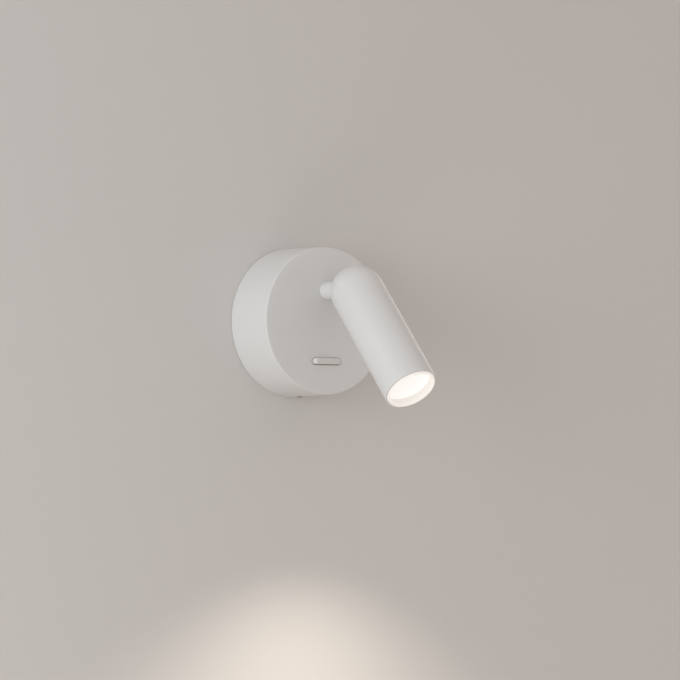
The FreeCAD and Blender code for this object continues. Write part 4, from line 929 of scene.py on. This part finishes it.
class Palette:
    """The finishes of the lamp."""

    coat = Finish("white_powder_coat", (0.722, 0.713, 0.705), 0.4, tint=(0.7, 0.685, 0.67),
                  drift=0.35, drift_scale=22.0, spread=0.05, relief=Relief.PEEL,
                  relief_scale=750.0, relief_depth=0.000018, dust=0.12)
    rocker = Finish("white_rocker_plastic", (0.74, 0.727, 0.705), 0.32,
                    tint=(0.7, 0.68, 0.64), spread=0.05, relief_scale=3200.0,
                    relief_depth=0.000003, dust=0.1, subsurface=0.05)
    zinc = Finish("zinc_plated_steel", (0.62, 0.63, 0.64), 0.34, 1.0, tint=(0.46, 0.5, 0.56),
                  drift=0.5, drift_scale=260.0, spread=0.14, relief=Relief.BRUSHED,
                  relief_scale=1300.0, stretch=(1.0, 1.0, 0.12), relief_depth=0.000006,
                  rub=0.6, rub_color=(0.82, 0.83, 0.84))
    spring = Finish("spring_steel", (0.42, 0.42, 0.43), 0.26, 1.0, tint=(0.3, 0.27, 0.24),
                    drift=0.4, drift_scale=420.0, spread=0.1, relief=Relief.TURNED,
                    relief_scale=5200.0, relief_depth=0.000003)
    oxide = Finish("black_oxide_steel", (0.035, 0.034, 0.036), 0.42, 0.6, tint=(0.09, 0.08, 0.075),
                   drift=0.5, drift_scale=400.0, spread=0.1, relief=Relief.BRUSHED,
                   relief_scale=1500.0, relief_depth=0.000004, rub=0.4,
                   rub_color=(0.3, 0.3, 0.3))
    rubber = Finish("black_rubber", (0.022, 0.022, 0.023), 0.72, tint=(0.06, 0.058, 0.055),
                    drift=0.5, drift_scale=180.0, spread=0.12, relief=Relief.CAST,
                    relief_scale=2600.0, relief_depth=0.00001, dust=0.4)
    cream = Finish("cream_terminal_plastic", (0.72, 0.69, 0.6), 0.48, tint=(0.62, 0.55, 0.42),
                   drift=0.3, relief_scale=2200.0, rub=0.2, rub_color=(0.8, 0.78, 0.72))
    brass = Finish("brass", (0.74, 0.55, 0.26), 0.28, 1.0, tint=(0.5, 0.33, 0.15), drift=0.5,
                   drift_scale=300.0, spread=0.12, relief=Relief.BRUSHED,
                   relief_scale=1600.0, stretch=(0.15, 1.0, 1.0), relief_depth=0.000004,
                   rub=0.5, rub_color=(0.88, 0.74, 0.45))
    driver = Finish("driver_white_plastic", (0.74, 0.74, 0.72), 0.46, tint=(0.64, 0.63, 0.6),
                    drift=0.3, relief_scale=1900.0, relief_depth=0.000008, rub=0.15)
    board = PrintedBoard("board_green", (0.02, 0.16, 0.07), 0.36, tint=(0.01, 0.09, 0.04),
                         drift=0.4, relief_scale=1500.0)
    tape = Finish("transformer_tape", (0.66, 0.48, 0.06), 0.34, tint=(0.5, 0.3, 0.03),
                  drift=0.5, drift_scale=240.0, relief=Relief.BRUSHED, relief_scale=1100.0,
                  stretch=(1.0, 0.1, 1.0), relief_depth=0.00001)
    sleeve = Finish("capacitor_sleeve", (0.018, 0.02, 0.035), 0.3, tint=(0.05, 0.05, 0.07),
                    drift=0.4, relief_scale=1700.0)
    switch = Finish("black_switch_plastic", (0.03, 0.03, 0.031), 0.5, tint=(0.07, 0.07, 0.07),
                    drift=0.4, relief_scale=2100.0, relief_depth=0.000008, rub=0.3,
                    rub_color=(0.16, 0.16, 0.16))
    acetal = Finish("natural_acetal", (0.72, 0.71, 0.66), 0.38, tint=(0.62, 0.59, 0.5),
                    drift=0.3, relief=Relief.TURNED, relief_scale=3600.0, subsurface=0.15)
    cast = Finish("cast_aluminium", (0.66, 0.67, 0.68), 0.46, 1.0, tint=(0.48, 0.49, 0.5),
                  drift=0.5, drift_scale=220.0, spread=0.12, relief=Relief.CAST,
                  relief_scale=1500.0, relief_depth=0.00002, rub=0.5,
                  rub_color=(0.84, 0.85, 0.86))
    machined = Finish("machined_aluminium", (0.76, 0.77, 0.78), 0.3, 1.0,
                      tint=(0.6, 0.61, 0.63), drift=0.4, drift_scale=150.0, spread=0.1,
                      relief=Relief.TURNED, relief_scale=4200.0, relief_depth=0.000005,
                      centre=HEAD_MIDDLE, axis=HEAD_AXIS, rub=0.4)
    pad = Finish("thermal_pad_grey", (0.3, 0.31, 0.33), 0.75, tint=(0.22, 0.23, 0.25),
                 drift=0.5, drift_scale=200.0, relief=Relief.CAST, relief_scale=2400.0)
    mask = PrintedBoard("white_led_board", (0.76, 0.76, 0.74), 0.38, tint=(0.68, 0.68, 0.64),
                        drift=0.3, track=(0.68, 0.69, 0.68), pitch=300.0)
    phosphor = Finish("led_phosphor", (0.78, 0.6, 0.1), 0.42, tint=(0.86, 0.72, 0.3),
                      drift=0.5, drift_scale=600.0, relief=Relief.CAST, relief_scale=3000.0)
    mirror = Finish("reflector_silver", (0.84, 0.84, 0.85), 0.12, 1.0, tint=(0.78, 0.79, 0.8),
                    drift=0.4, drift_scale=120.0, spread=0.05, relief=Relief.PEEL,
                    relief_scale=500.0, relief_depth=0.000006)
    opal = LitOpal("opal_diffuser", (0.82, 0.81, 0.78), 0.45, tint=(0.78, 0.75, 0.7),
                   drift=0.3, relief_scale=4200.0, relief_depth=0.000003, dust=0.0,
                   centre_glow=(0.97, 0.99, 1.0), rim_glow=(0.93, 0.94, 0.94),
                   middle=DISC_MIDDLE, strength=0.46)
    # Painted light: the ring is no lamp. Its glow, brightest towards the lip, stands for the
    # disc's light falling on the ring.
    ring_painted_glow = LitOpal("opal_ring_plastic", (0.5, 0.48, 0.45), 0.6, tint=(0.47, 0.44, 0.4),
                        drift=0.3, relief_scale=3600.0, relief_depth=0.000002, dust=0.0,
                        centre_glow=(0.2, 0.17, 0.14), rim_glow=(1.45, 1.37, 1.3),
                        middle=DISC_MIDDLE, reach=0.0155, strength=0.43)
    brown = Wire("brown_wire", (0.17, 0.065, 0.02), tint=(0.25, 0.11, 0.05))
    blue = Wire("blue_wire", (0.02, 0.09, 0.36), tint=(0.05, 0.14, 0.42))
    earth = StripedWire("green_yellow_wire", (0.06, 0.3, 0.04), tint=(0.1, 0.36, 0.08))
    red = Wire("red_wire", (0.45, 0.02, 0.015), tint=(0.5, 0.06, 0.04))
    black = Wire("black_wire", (0.02, 0.02, 0.02), tint=(0.05, 0.05, 0.05))
    wall = PlasterWall("wall_paint", (0.68, 0.66, 0.64), 0.85, tint=(0.66, 0.62, 0.59),
                       drift=0.3, drift_scale=2.5, spread=0.04, relief=Relief.PEEL,
                       relief_scale=160.0, relief_depth=0.00005, dust=0.0)
    floor = Finish("floor_paint", (0.66, 0.64, 0.62), 0.7, tint=(0.62, 0.6, 0.57), drift=0.4,
                   drift_scale=3.0, relief=Relief.PEEL, relief_scale=90.0, dust=0.0)


def keep(piece: Object, body: Body, finish: Finish, *nodes: str) -> None:
    """Finish a piece, put it on its body and let it stand for its nodes.

    Args:
        piece: The new piece, in its place.
        body: The body that it rides on.
        finish: Its finish.
        nodes: The nodes that it stands for.
    """
    Shapes.smooth(piece)
    piece.data.materials.clear()
    piece.data.materials.append(finish.build())
    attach(piece, body.value)
    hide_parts(*nodes)
    LOG.info("%s on %s, %d faces", piece.name, body.value, len(piece.data.polygons))


def dress(finish: Finish, *nodes: str) -> None:
    """Give nodes that stay as they are their finish.

    Args:
        finish: The finish.
        nodes: The names of the nodes.
    """
    for node in nodes:
        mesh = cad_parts[node].data
        mesh.materials.clear()
        mesh.materials.append(finish.build())
        LOG.info("%s dressed as %s", node, finish.slot)


@dataclass
class WallBase:
    """The round base: its white cup, and all that is fixed inside it and on the wall."""

    radius: float = 42.5
    draft: float = 1.2
    depth: float = BASE_DEPTH
    wall: float = 1.6
    face: float = 2.0
    longest_run: float = 3.0
    rim_gap: float = 0.25
    rim_rounding: float = 0.15
    edge_rounding: float = 0.6
    inner_rounding: float = 1.2
    slot_length: float = 21.3
    slot_width: float = 4.3
    slot_drop: float = 23.4
    slot_flare: float = 0.15
    bush_radius: float = 4.85
    screw_hole_radius: float = 1.6
    screw_from_wall: float = 6.9
    screw_radius: float = 1.5
    screw_length: float = 6.0
    screw_proud: float = 0.35
    screw_chamfer: float = 0.25
    screw_tip_rounding: float = 0.1
    socket_across: float = 1.5
    socket_depth: float = 1.4

    def cup(self) -> None:
        """Make the deep white cup with its openings for stem, rocker and lock screws."""
        bore = self.radius - self.wall
        floor = self.depth - self.face
        profile = Shapes.rounded([
            Corner(0, self.depth), Corner(self.radius, self.depth, self.edge_rounding),
            Corner(self.radius + self.draft, self.rim_gap, self.rim_rounding),
            Corner(bore, self.rim_gap, self.rim_rounding),
            Corner(bore, floor, self.inner_rounding), Corner(0, floor)])
        seat = Seats.wall()
        cup = Shapes.turned("housing_cup", Shapes.spaced(profile, self.longest_run), seat,
                            sides=Sides.CUP)
        slot = [(Shapes.stadium(self.slot_length + 2 * flare, self.slot_width + 2 * flare,
                                -self.slot_drop), height)
                for flare, height in ((0, floor - OVERRUN), (0, self.depth - self.slot_flare),
                                      (self.slot_flare, self.depth),
                                      (self.slot_flare, self.depth + OVERRUN))]
        reach = self.radius + 2 * self.draft
        Shapes.cut(cup, [
            Shapes.lofted("cutter", slot, seat),
            Shapes.pin("cutter", self.bush_radius, floor - OVERRUN, self.depth + OVERRUN,
                       Seats.wall(STEM_HEIGHT), Sides.BUSH),
            Shapes.pin("cutter", self.screw_hole_radius, -reach, reach,
                       Seats.side(self.screw_from_wall))])
        keep(cup, Body.BASE, Palette.coat, "base_housing")

    def lock_screw(self, sign: int, proud: float) -> Object:
        """Make one of the set screws that lock the cup.

        Args:
            sign: 1 for the top of the cup and -1 for the bottom.
            proud: How far it stands out of the cup's side.

        Returns:
            The screw with its six-sided socket.
        """
        seat = Seats.side(self.screw_from_wall, sign)
        top = self.radius + self.draft * (1 - self.screw_from_wall / self.depth) + proud
        tip = top - self.screw_length
        profile = Shapes.rounded([
            Corner(0, top), Corner(self.screw_radius, top, self.screw_chamfer),
            Corner(self.screw_radius, tip, self.screw_tip_rounding), Corner(0, tip)], steps=2)
        screw = Shapes.turned("lock_screw", profile, seat)
        reach = self.socket_across / math.sqrt(3)
        hexagon = [(reach * math.cos(math.pi * step / 3), reach * math.sin(math.pi * step / 3))
                   for step in range(6)]
        Shapes.cut(screw, [Shapes.lofted("cutter", [(hexagon, top - self.socket_depth),
                                                    (hexagon, top + OVERRUN)], seat)])
        return screw

    def inside(self) -> None:
        """Dress the bracket, the terminals, the driver and the leads in the base."""
        dress(Palette.zinc, "wall_bracket", "terminal_block_screws", "terminal_clamp_screws",
              "earth_screw", "driver_screws", "switch_screws", "stop_pin")
        dress(Palette.rubber, "cable_grommet")
        dress(Palette.cream, "terminal_block")
        dress(Palette.brass, "terminal_sleeves", "earth_tag")
        dress(Palette.driver, "driver_case", "driver_lid")
        dress(Palette.board, "driver_board")
        dress(Palette.tape, "driver_transformer")
        dress(Palette.sleeve, "driver_capacitors")
        dress(Palette.acetal, "stem_bush")
        dress(Palette.brown, "live_lead", "switched_lead")
        dress(Palette.blue, "neutral_lead")
        dress(Palette.earth, "earth_lead")
        dress(Palette.red, "led_lead_positive_base")
        dress(Palette.black, "led_lead_negative_base")

    def build(self) -> None:
        """Build and dress the base, its top lock screw flush and the lower one proud."""
        self.cup()
        screws = [self.lock_screw(1, 0), self.lock_screw(-1, self.screw_proud)]
        keep(Shapes.joined(screws), Body.BASE, Palette.oxide, "housing_lock_screws")
        self.inside()


@dataclass
class RockerSwitch:
    """The slim rocker in the face of the base, and the switch behind it."""

    length: float = 20.0
    width: float = 3.8
    top: float = 5.0
    skirt: float = 0.9
    edge: float = 0.5
    edge_steps: int = 8
    crown: float = 0.12
    crown_flat: float = 0.25
    crown_shares: tuple[float, ...] = (0.35, 0.7, 1.0)
    pivot: float = 30.0
    drop: float = 23.3
    throw: float = 8.0
    barrel_radius: float = 1.8
    barrel_length: float = 6.0
    barrel_gap: float = 0.01
    apron_ends: float = 0.6
    apron_sides: float = 0.12
    apron_top: float = 1.6
    apron_slope: float = 0.1

    def outlines(self) -> list[tuple[list[Point], float]]:
        """Work out the outlines that make the bar, from its apron up to its crown.

        Returns:
            Each outline and its height.
        """
        insets = [(0.0, self.apron_top + self.apron_slope), (0.0, self.top / 2)]
        shoulder = self.top - self.crown - self.edge
        for step in range(self.edge_steps + 1):
            angle = math.radians(90 * step / self.edge_steps)
            insets.append((self.edge * (1 - math.cos(angle)),
                           shoulder + self.edge * math.sin(angle)))
        for share in self.crown_shares:
            inset = self.edge + (self.width / 2 - self.edge - self.crown_flat) * share
            insets.append((inset, self.top - self.crown * (1 - share) ** 2))
        apron = Shapes.stadium(self.length + 2 * self.apron_ends,
                               self.width + 2 * self.apron_sides)
        return [(apron, -self.skirt), (apron, self.apron_top)] + [
            (Shapes.stadium(self.length - 2 * inset, self.width - 2 * inset), height)
            for inset, height in insets]

    def build(self) -> None:
        """Build the rocker on its barrel and dress the switch behind it."""
        seat = Seats.rocker(self.pivot, self.drop, self.throw)
        bar = Shapes.lofted("rocker_bar", self.outlines(), seat)
        barrel = Shapes.pin("barrel", self.barrel_radius, -self.barrel_length,
                            -self.skirt - self.barrel_gap, seat)
        keep(Shapes.joined([bar, barrel]), Body.ROCKER, Palette.rocker, "switch_rocker")
        dress(Palette.switch, "switch_housing")
        dress(Palette.brass, "switch_terminals", "contact_blade")
        dress(Palette.spring, "rocker_pin", "rocker_spring")
        dress(Palette.acetal, "rocker_plunger")


@dataclass
class SwivelStem:
    """The level white stem that swivels in the base and carries the head."""

    radius: float = 5.25
    face_gap: float = 0.05
    root_rounding: float = 0.3
    tail_radius: float = 4.0
    tail_end: float = 23.0
    bore: float = 3.0
    neck: float = 2.2
    neck_start: float = 54.0
    flat_side: float = 4.5
    flat_start: float = 54.5
    notch: float = 2.0
    window_radius: float = 1.5
    cut_reach: float = 9.0
    longest_run: float = 2.0
    ball_steps: int = 24

    def tube(self) -> None:
        """Make the stem with its ball end, flats and window for the leads."""
        root = self.face_gap + BASE_DEPTH
        corners = [Corner(self.radius, PIVOT_REACH), Corner(self.radius, root, self.root_rounding),
                   Corner(self.tail_radius, root), Corner(self.tail_radius, self.tail_end),
                   Corner(self.bore, self.tail_end), Corner(self.bore, self.neck_start),
                   Corner(self.neck, self.neck_start), Corner(self.neck, PIVOT_REACH),
                   Corner(0, PIVOT_REACH)]
        ball = Shapes.dome(self.radius, PIVOT_REACH, 0, 90, self.ball_steps)
        profile = Shapes.spaced(ball[:-1] + Shapes.rounded(corners), self.longest_run)
        seat = Seats.wall(STEM_HEIGHT)
        tube = Shapes.turned("stem_tube", profile, seat, sides=Sides.STEM)
        far = PIVOT_REACH + 2 * self.radius
        clear = self.cut_reach
        window = Seats.at((0, -PIVOT_REACH, STEM_HEIGHT), (0, 1, 0), (0, 0, 1))
        Shapes.cut(tube, [
            Shapes.box((self.flat_side, -clear, self.flat_start), (clear, clear, far), seat),
            Shapes.box((-clear, -clear, self.flat_start), (-self.flat_side, clear, far), seat),
            Shapes.box((-self.neck, -clear, PIVOT_REACH - self.notch),
                       (self.neck, self.notch, far), seat),
            Shapes.pin("cutter", self.window_radius, -clear, clear, window)])
        keep(tube, Body.STEM, Palette.coat, "stem")

    def build(self) -> None:
        """Build the stem and dress what turns with it."""
        self.tube()
        dress(Palette.zinc, "stop_washer", "swivel_nut", "pivot_screws", "friction_washers")
        dress(Palette.spring, "disc_spring")
        dress(Palette.red, "led_lead_positive_stem")
        dress(Palette.black, "led_lead_negative_stem")


@dataclass
class LampHead:
    """The tubular head with its domed end, its mouth ring, its lit disc and its inside."""

    radius: float = 15.25
    bore: float = 14.25
    rear_bore: float = 13.25
    length: float = 73.6
    shoulder: float = 15.0
    edge: float = 0.35
    longest_run: float = 2.0
    slot_half: float = 5.6
    ring_radius: float = 14.1
    ring_bore: float = 13.0
    ring_front: float = 74.45
    ring_back_rounding: float = 0.1
    ring_longest_run: float = 1.0
    lip_rounding: float = 0.55
    lip_radius: float = 13.92
    lip_edge: float = 0.35
    step_height: float = 0.2
    step_rounding: float = 0.05
    disc_thickness: float = 1.6
    disc_rounding: float = 0.15
    disc_crown: float = 0.25
    crown_margin: float = 0.2
    crown_steps: int = 12

    def tube(self) -> None:
        """Make the white tube with its dome and the slot for the stem's whole swing."""
        front = Shapes.rounded([
            Corner(self.radius, 0), Corner(self.radius, self.length, self.edge),
            Corner(self.bore, self.length, self.edge), Corner(self.bore, self.shoulder),
            Corner(self.rear_bore, self.shoulder), Corner(self.rear_bore, 0)])
        profile = (Shapes.dome(self.radius, 0, 180, 90)[:-1] + front[:-1]
                   + Shapes.dome(self.rear_bore, 0, 90, 180))
        tube = Shapes.turned("head_tube", Shapes.spaced(profile, self.longest_run), HEAD_SEAT,
                             sides=Sides.HEAD)
        far = -2 * self.radius
        upright = HEAD_SEAT @ Matrix.Rotation(math.radians(90), 4, "X")
        behind = [(Shapes.arch(self.slot_half, far, 0), height)
                  for height in (far, -PIVOT_SETBACK)]
        beside = [(Shapes.arch(self.slot_half, far, -PIVOT_SETBACK), height)
                  for height in (0, -far)]
        Shapes.cut(tube, [Shapes.lofted("cutter", behind, HEAD_SEAT),
                          Shapes.lofted("cutter", beside, upright)])
        keep(tube, Body.HEAD, Palette.coat, "head_shell")

    def ring(self) -> None:
        """Make the ring in the mouth of the tube, with its lip proud of the tube's edge."""
        step = self.length - self.lip_edge
        profile = Shapes.rounded([
            Corner(self.ring_bore, DISC_FRONT, self.ring_back_rounding),
            Corner(self.ring_radius, DISC_FRONT, self.ring_back_rounding),
            Corner(self.ring_radius, step - self.step_height, self.step_rounding),
            Corner(self.lip_radius, step, self.step_rounding),
            Corner(self.lip_radius, self.ring_front, self.lip_edge),
            Corner(self.ring_bore, self.ring_front, self.lip_rounding)], closed=True)
        spaced = Shapes.spaced(profile, self.ring_longest_run, closed=True)
        ring = Shapes.turned("mouth_ring", spaced, HEAD_SEAT, closed=True, sides=Sides.HEAD)
        # The ring's finish paints the disc's light onto it as a glow, brightest at its lip.
        keep(ring, Body.HEAD, Palette.ring_painted_glow, "front_ring")

    def disc(self) -> None:
        """Make the frosted disc, flat where the ring clamps it and slightly crowned inside."""
        back = DISC_FRONT - self.disc_thickness
        crowned = self.ring_bore - self.crown_margin
        radii = [crowned * step / self.crown_steps for step in range(self.crown_steps)]
        crown = [(radius, DISC_FRONT + self.disc_crown * (1 - (radius / crowned) ** 2))
                 for radius in radii]
        rim = Shapes.rounded([
            Corner(crowned, DISC_FRONT),
            Corner(self.ring_radius, DISC_FRONT, self.disc_rounding),
            Corner(self.ring_radius, back, self.disc_rounding), Corner(0, back)])
        disc = Shapes.turned("opal_disc", crown + rim, HEAD_SEAT, sides=Sides.DISC)
        keep(disc, Body.HEAD, Palette.opal, "diffuser")

    def build(self) -> None:
        """Build the head and dress what is in it."""
        self.tube()
        self.ring()
        self.disc()
        dress(Palette.cast, "pivot_yoke")
        dress(Palette.machined, "heat_sink")
        dress(Palette.pad, "thermal_pad")
        dress(Palette.mask, "led_board")
        dress(Palette.phosphor, "led_emitter")
        dress(Palette.mirror, "reflector")
        dress(Palette.zinc, "yoke_screws", "led_board_screws")
        dress(Palette.red, "led_lead_positive_head")
        dress(Palette.black, "led_lead_negative_head")


@dataclass(frozen=True)
class SoftLight:
    """A square soft light of the room: its place, its size, its power in watts and its tint."""

    name: str
    place: Place
    size: float
    power: float
    tint: Color


@dataclass
class Studio:
    """The wall behind the lamp, the floor far below, the light and the camera."""

    hole: float = 40.2
    wall_middle: float = 200.0
    wall_reach: float = 3000.0
    wall_steps: int = 128
    floor_drop: float = 0.75
    ambient: float = 0.625
    sky: Color = (1.0, 0.928, 0.893)
    ground: Color = (0.78, 0.77, 0.76)
    aim: Place = (0.0, -0.03, 0.0)
    wall_glow: SoftLight = SoftLight("wall_glow", (0.2, -0.004, 0.0), 0.2, 0.14,
                                     (1.0, 0.97, 0.93))
    aimed: tuple[SoftLight, ...] = (
        SoftLight("side_window", (-1.2, -0.55, 0.02), 0.6, 4.6, (0.84, 0.95, 1.0)),
        SoftLight("near_wall", (-1.2, -0.07, 0.36), 0.4, 2.8, (0.84, 0.95, 1.0)),
        SoftLight("far_side", (0.9, -0.4, -0.45), 0.5, 0.6, (1.0, 0.95, 0.9)),
        SoftLight("low_bounce", (-0.45, -0.25, -0.7), 0.5, 1.0, (1.0, 0.91, 0.86)))
    beam_power: float = 2.45
    beam_place: Place = (0.0, -0.115, -0.052)
    beam_tint: Color = (1.0, 0.9, 0.77)
    beam_angle: float = 107.0
    beam_radius: float = 0.004
    lens: float = 116.47
    sensor: float = 36.0
    nearest: float = 0.01
    farthest: float = 20.0
    camera_place: Place = (-0.75358, -1.04983, -0.06064)
    camera_right: Place = (0.79966012, -0.60045291, 0.0)
    camera_up: Place = (-0.02348512, -0.03127658, 0.99923482)
    camera_back: Place = (-0.59999346, -0.79904823, -0.03911235)

    def stand(self, name: str, mesh: Mesh, finish: Finish) -> None:
        """Put a surface of the room in its place.

        Args:
            name: The surface's name.
            mesh: Its mesh.
            finish: Its finish.
        """
        mesh.materials.append(finish.build())
        surface = bpy.data.objects.new(name, mesh)
        bpy.context.scene.collection.objects.link(surface)

    def wall(self) -> None:
        """Make the wall, open behind the base so that its back can be seen."""
        count = self.wall_steps
        turns = [2 * math.pi * step / count for step in range(count)]
        places = [(radius * math.cos(turn), radius * math.sin(turn), 0)
                  for radius in (self.hole, self.wall_middle, self.wall_reach) for turn in turns]
        faces = [(ring + step, ring + count + step, ring + count + (step + 1) % count,
                  ring + (step + 1) % count)
                 for ring in (0, count) for step in range(count)]
        mesh = bpy.data.meshes.new("room_wall")
        mesh.from_pydata(places, [], faces)
        mesh.transform(Seats.wall())
        self.stand("room_wall", mesh, Palette.wall)

    def floor(self) -> None:
        """Make the pale floor below the camera's view."""
        mesh = bpy.data.meshes.new("room_floor")
        reach = self.wall_reach * MM
        corners = [(-reach, -reach), (reach, -reach), (reach, 0), (-reach, 0)]
        mesh.from_pydata([(x, y, -self.floor_drop) for x, y in corners], [], [(0, 1, 2, 3)])
        self.stand("room_floor", mesh, Palette.floor)

    def world(self) -> None:
        """Make the even light from all round, with a pale ground where it is seen."""
        world = bpy.data.worlds.new("studio")
        bpy.context.scene.world = world
        world.use_nodes = True
        tree = world.node_tree
        tree.nodes.clear()
        out = tree.nodes.new("ShaderNodeOutputWorld")
        light = tree.nodes.new("ShaderNodeBackground")
        light.inputs["Color"].default_value = (*self.sky, 1.0)
        light.inputs["Strength"].default_value = self.ambient
        seen = tree.nodes.new("ShaderNodeBackground")
        seen.inputs["Color"].default_value = (*self.ground, 1.0)
        ray = tree.nodes.new("ShaderNodeLightPath").outputs
        either = Wiring.math(tree, "MAXIMUM", ray["Is Camera Ray"], ray["Is Transmission Ray"])
        direct = Wiring.math(tree, "MAXIMUM", either, ray["Is Glossy Ray"])
        mixed = tree.nodes.new("ShaderNodeMixShader")
        tree.links.new(direct, mixed.inputs[0])
        tree.links.new(light.outputs[0], mixed.inputs[1])
        tree.links.new(seen.outputs[0], mixed.inputs[2])
        tree.links.new(mixed.outputs[0], out.inputs["Surface"])

    def lamp(self, name: str, kind: str, place: Place, toward: Vector, power: float,
             tint: Color) -> Object:
        """Hang a light.

        Args:
            name: The light's name.
            kind: The type of its light data.
            place: Where it hangs.
            toward: The direction that it shines in.
            power: Its power in watts.
            tint: Its colour.

        Returns:
            The light.
        """
        data = bpy.data.lights.new(name, kind)
        data.energy = power
        data.color = tint
        light = bpy.data.objects.new(name, data)
        bpy.context.scene.collection.objects.link(light)
        light.location = place
        light.rotation_mode = "QUATERNION"
        light.rotation_quaternion = toward.to_track_quat("-Z", "Y")
        light.visible_camera = False
        return light

    def soft(self, light: SoftLight, toward: Vector) -> None:
        """Hang a soft light, which shines in a direction."""
        lamp = self.lamp(light.name, "AREA", light.place, toward, light.power, light.tint)
        lamp.data.size = light.size

    def lamps(self) -> None:
        """Hang the lights in the room, and the beam that swings round with the stem."""
        self.soft(self.wall_glow, Vector((0, -1, 0)))
        for light in self.aimed:
            self.soft(light, Vector(self.aim) - Vector(light.place))
        beam = self.lamp("beam", "SPOT", self.beam_place, Vector((0, 0, -1)), self.beam_power,
                         self.beam_tint)
        beam.data.spot_size = math.radians(self.beam_angle)
        beam.data.spot_blend = 1.0
        beam.data.shadow_soft_size = self.beam_radius
        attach(beam, Body.STEM.value)

    def camera(self) -> None:
        """Set the camera at the photograph's viewing angle."""
        data = bpy.data.cameras.new("view")
        data.lens = self.lens
        data.sensor_width = self.sensor
        data.clip_start = self.nearest
        data.clip_end = self.farthest
        camera = bpy.data.objects.new("view", data)
        bpy.context.scene.collection.objects.link(camera)
        turn = Matrix((self.camera_right, self.camera_up, self.camera_back)).transposed()
        camera.matrix_world = Matrix.Translation(self.camera_place) @ turn.to_4x4()
        bpy.context.scene.camera = camera

    def build(self) -> None:
        """Set up everything round the lamp."""
        self.wall()
        self.floor()
        self.world()
        self.lamps()
        self.camera()


def main() -> None:
    """Build the studio and then the lamp, from the wall outward."""
    logging.basicConfig(level=logging.INFO, format="%(name)s: %(message)s")
    bpy.context.scene.view_settings.view_transform = "Standard"
    Studio().build()
    for part in (WallBase(), RockerSwitch(), SwivelStem(), LampHead()):
        LOG.info("building %s", type(part).__name__)
        part.build()


if __name__ == "__main__":
    main()
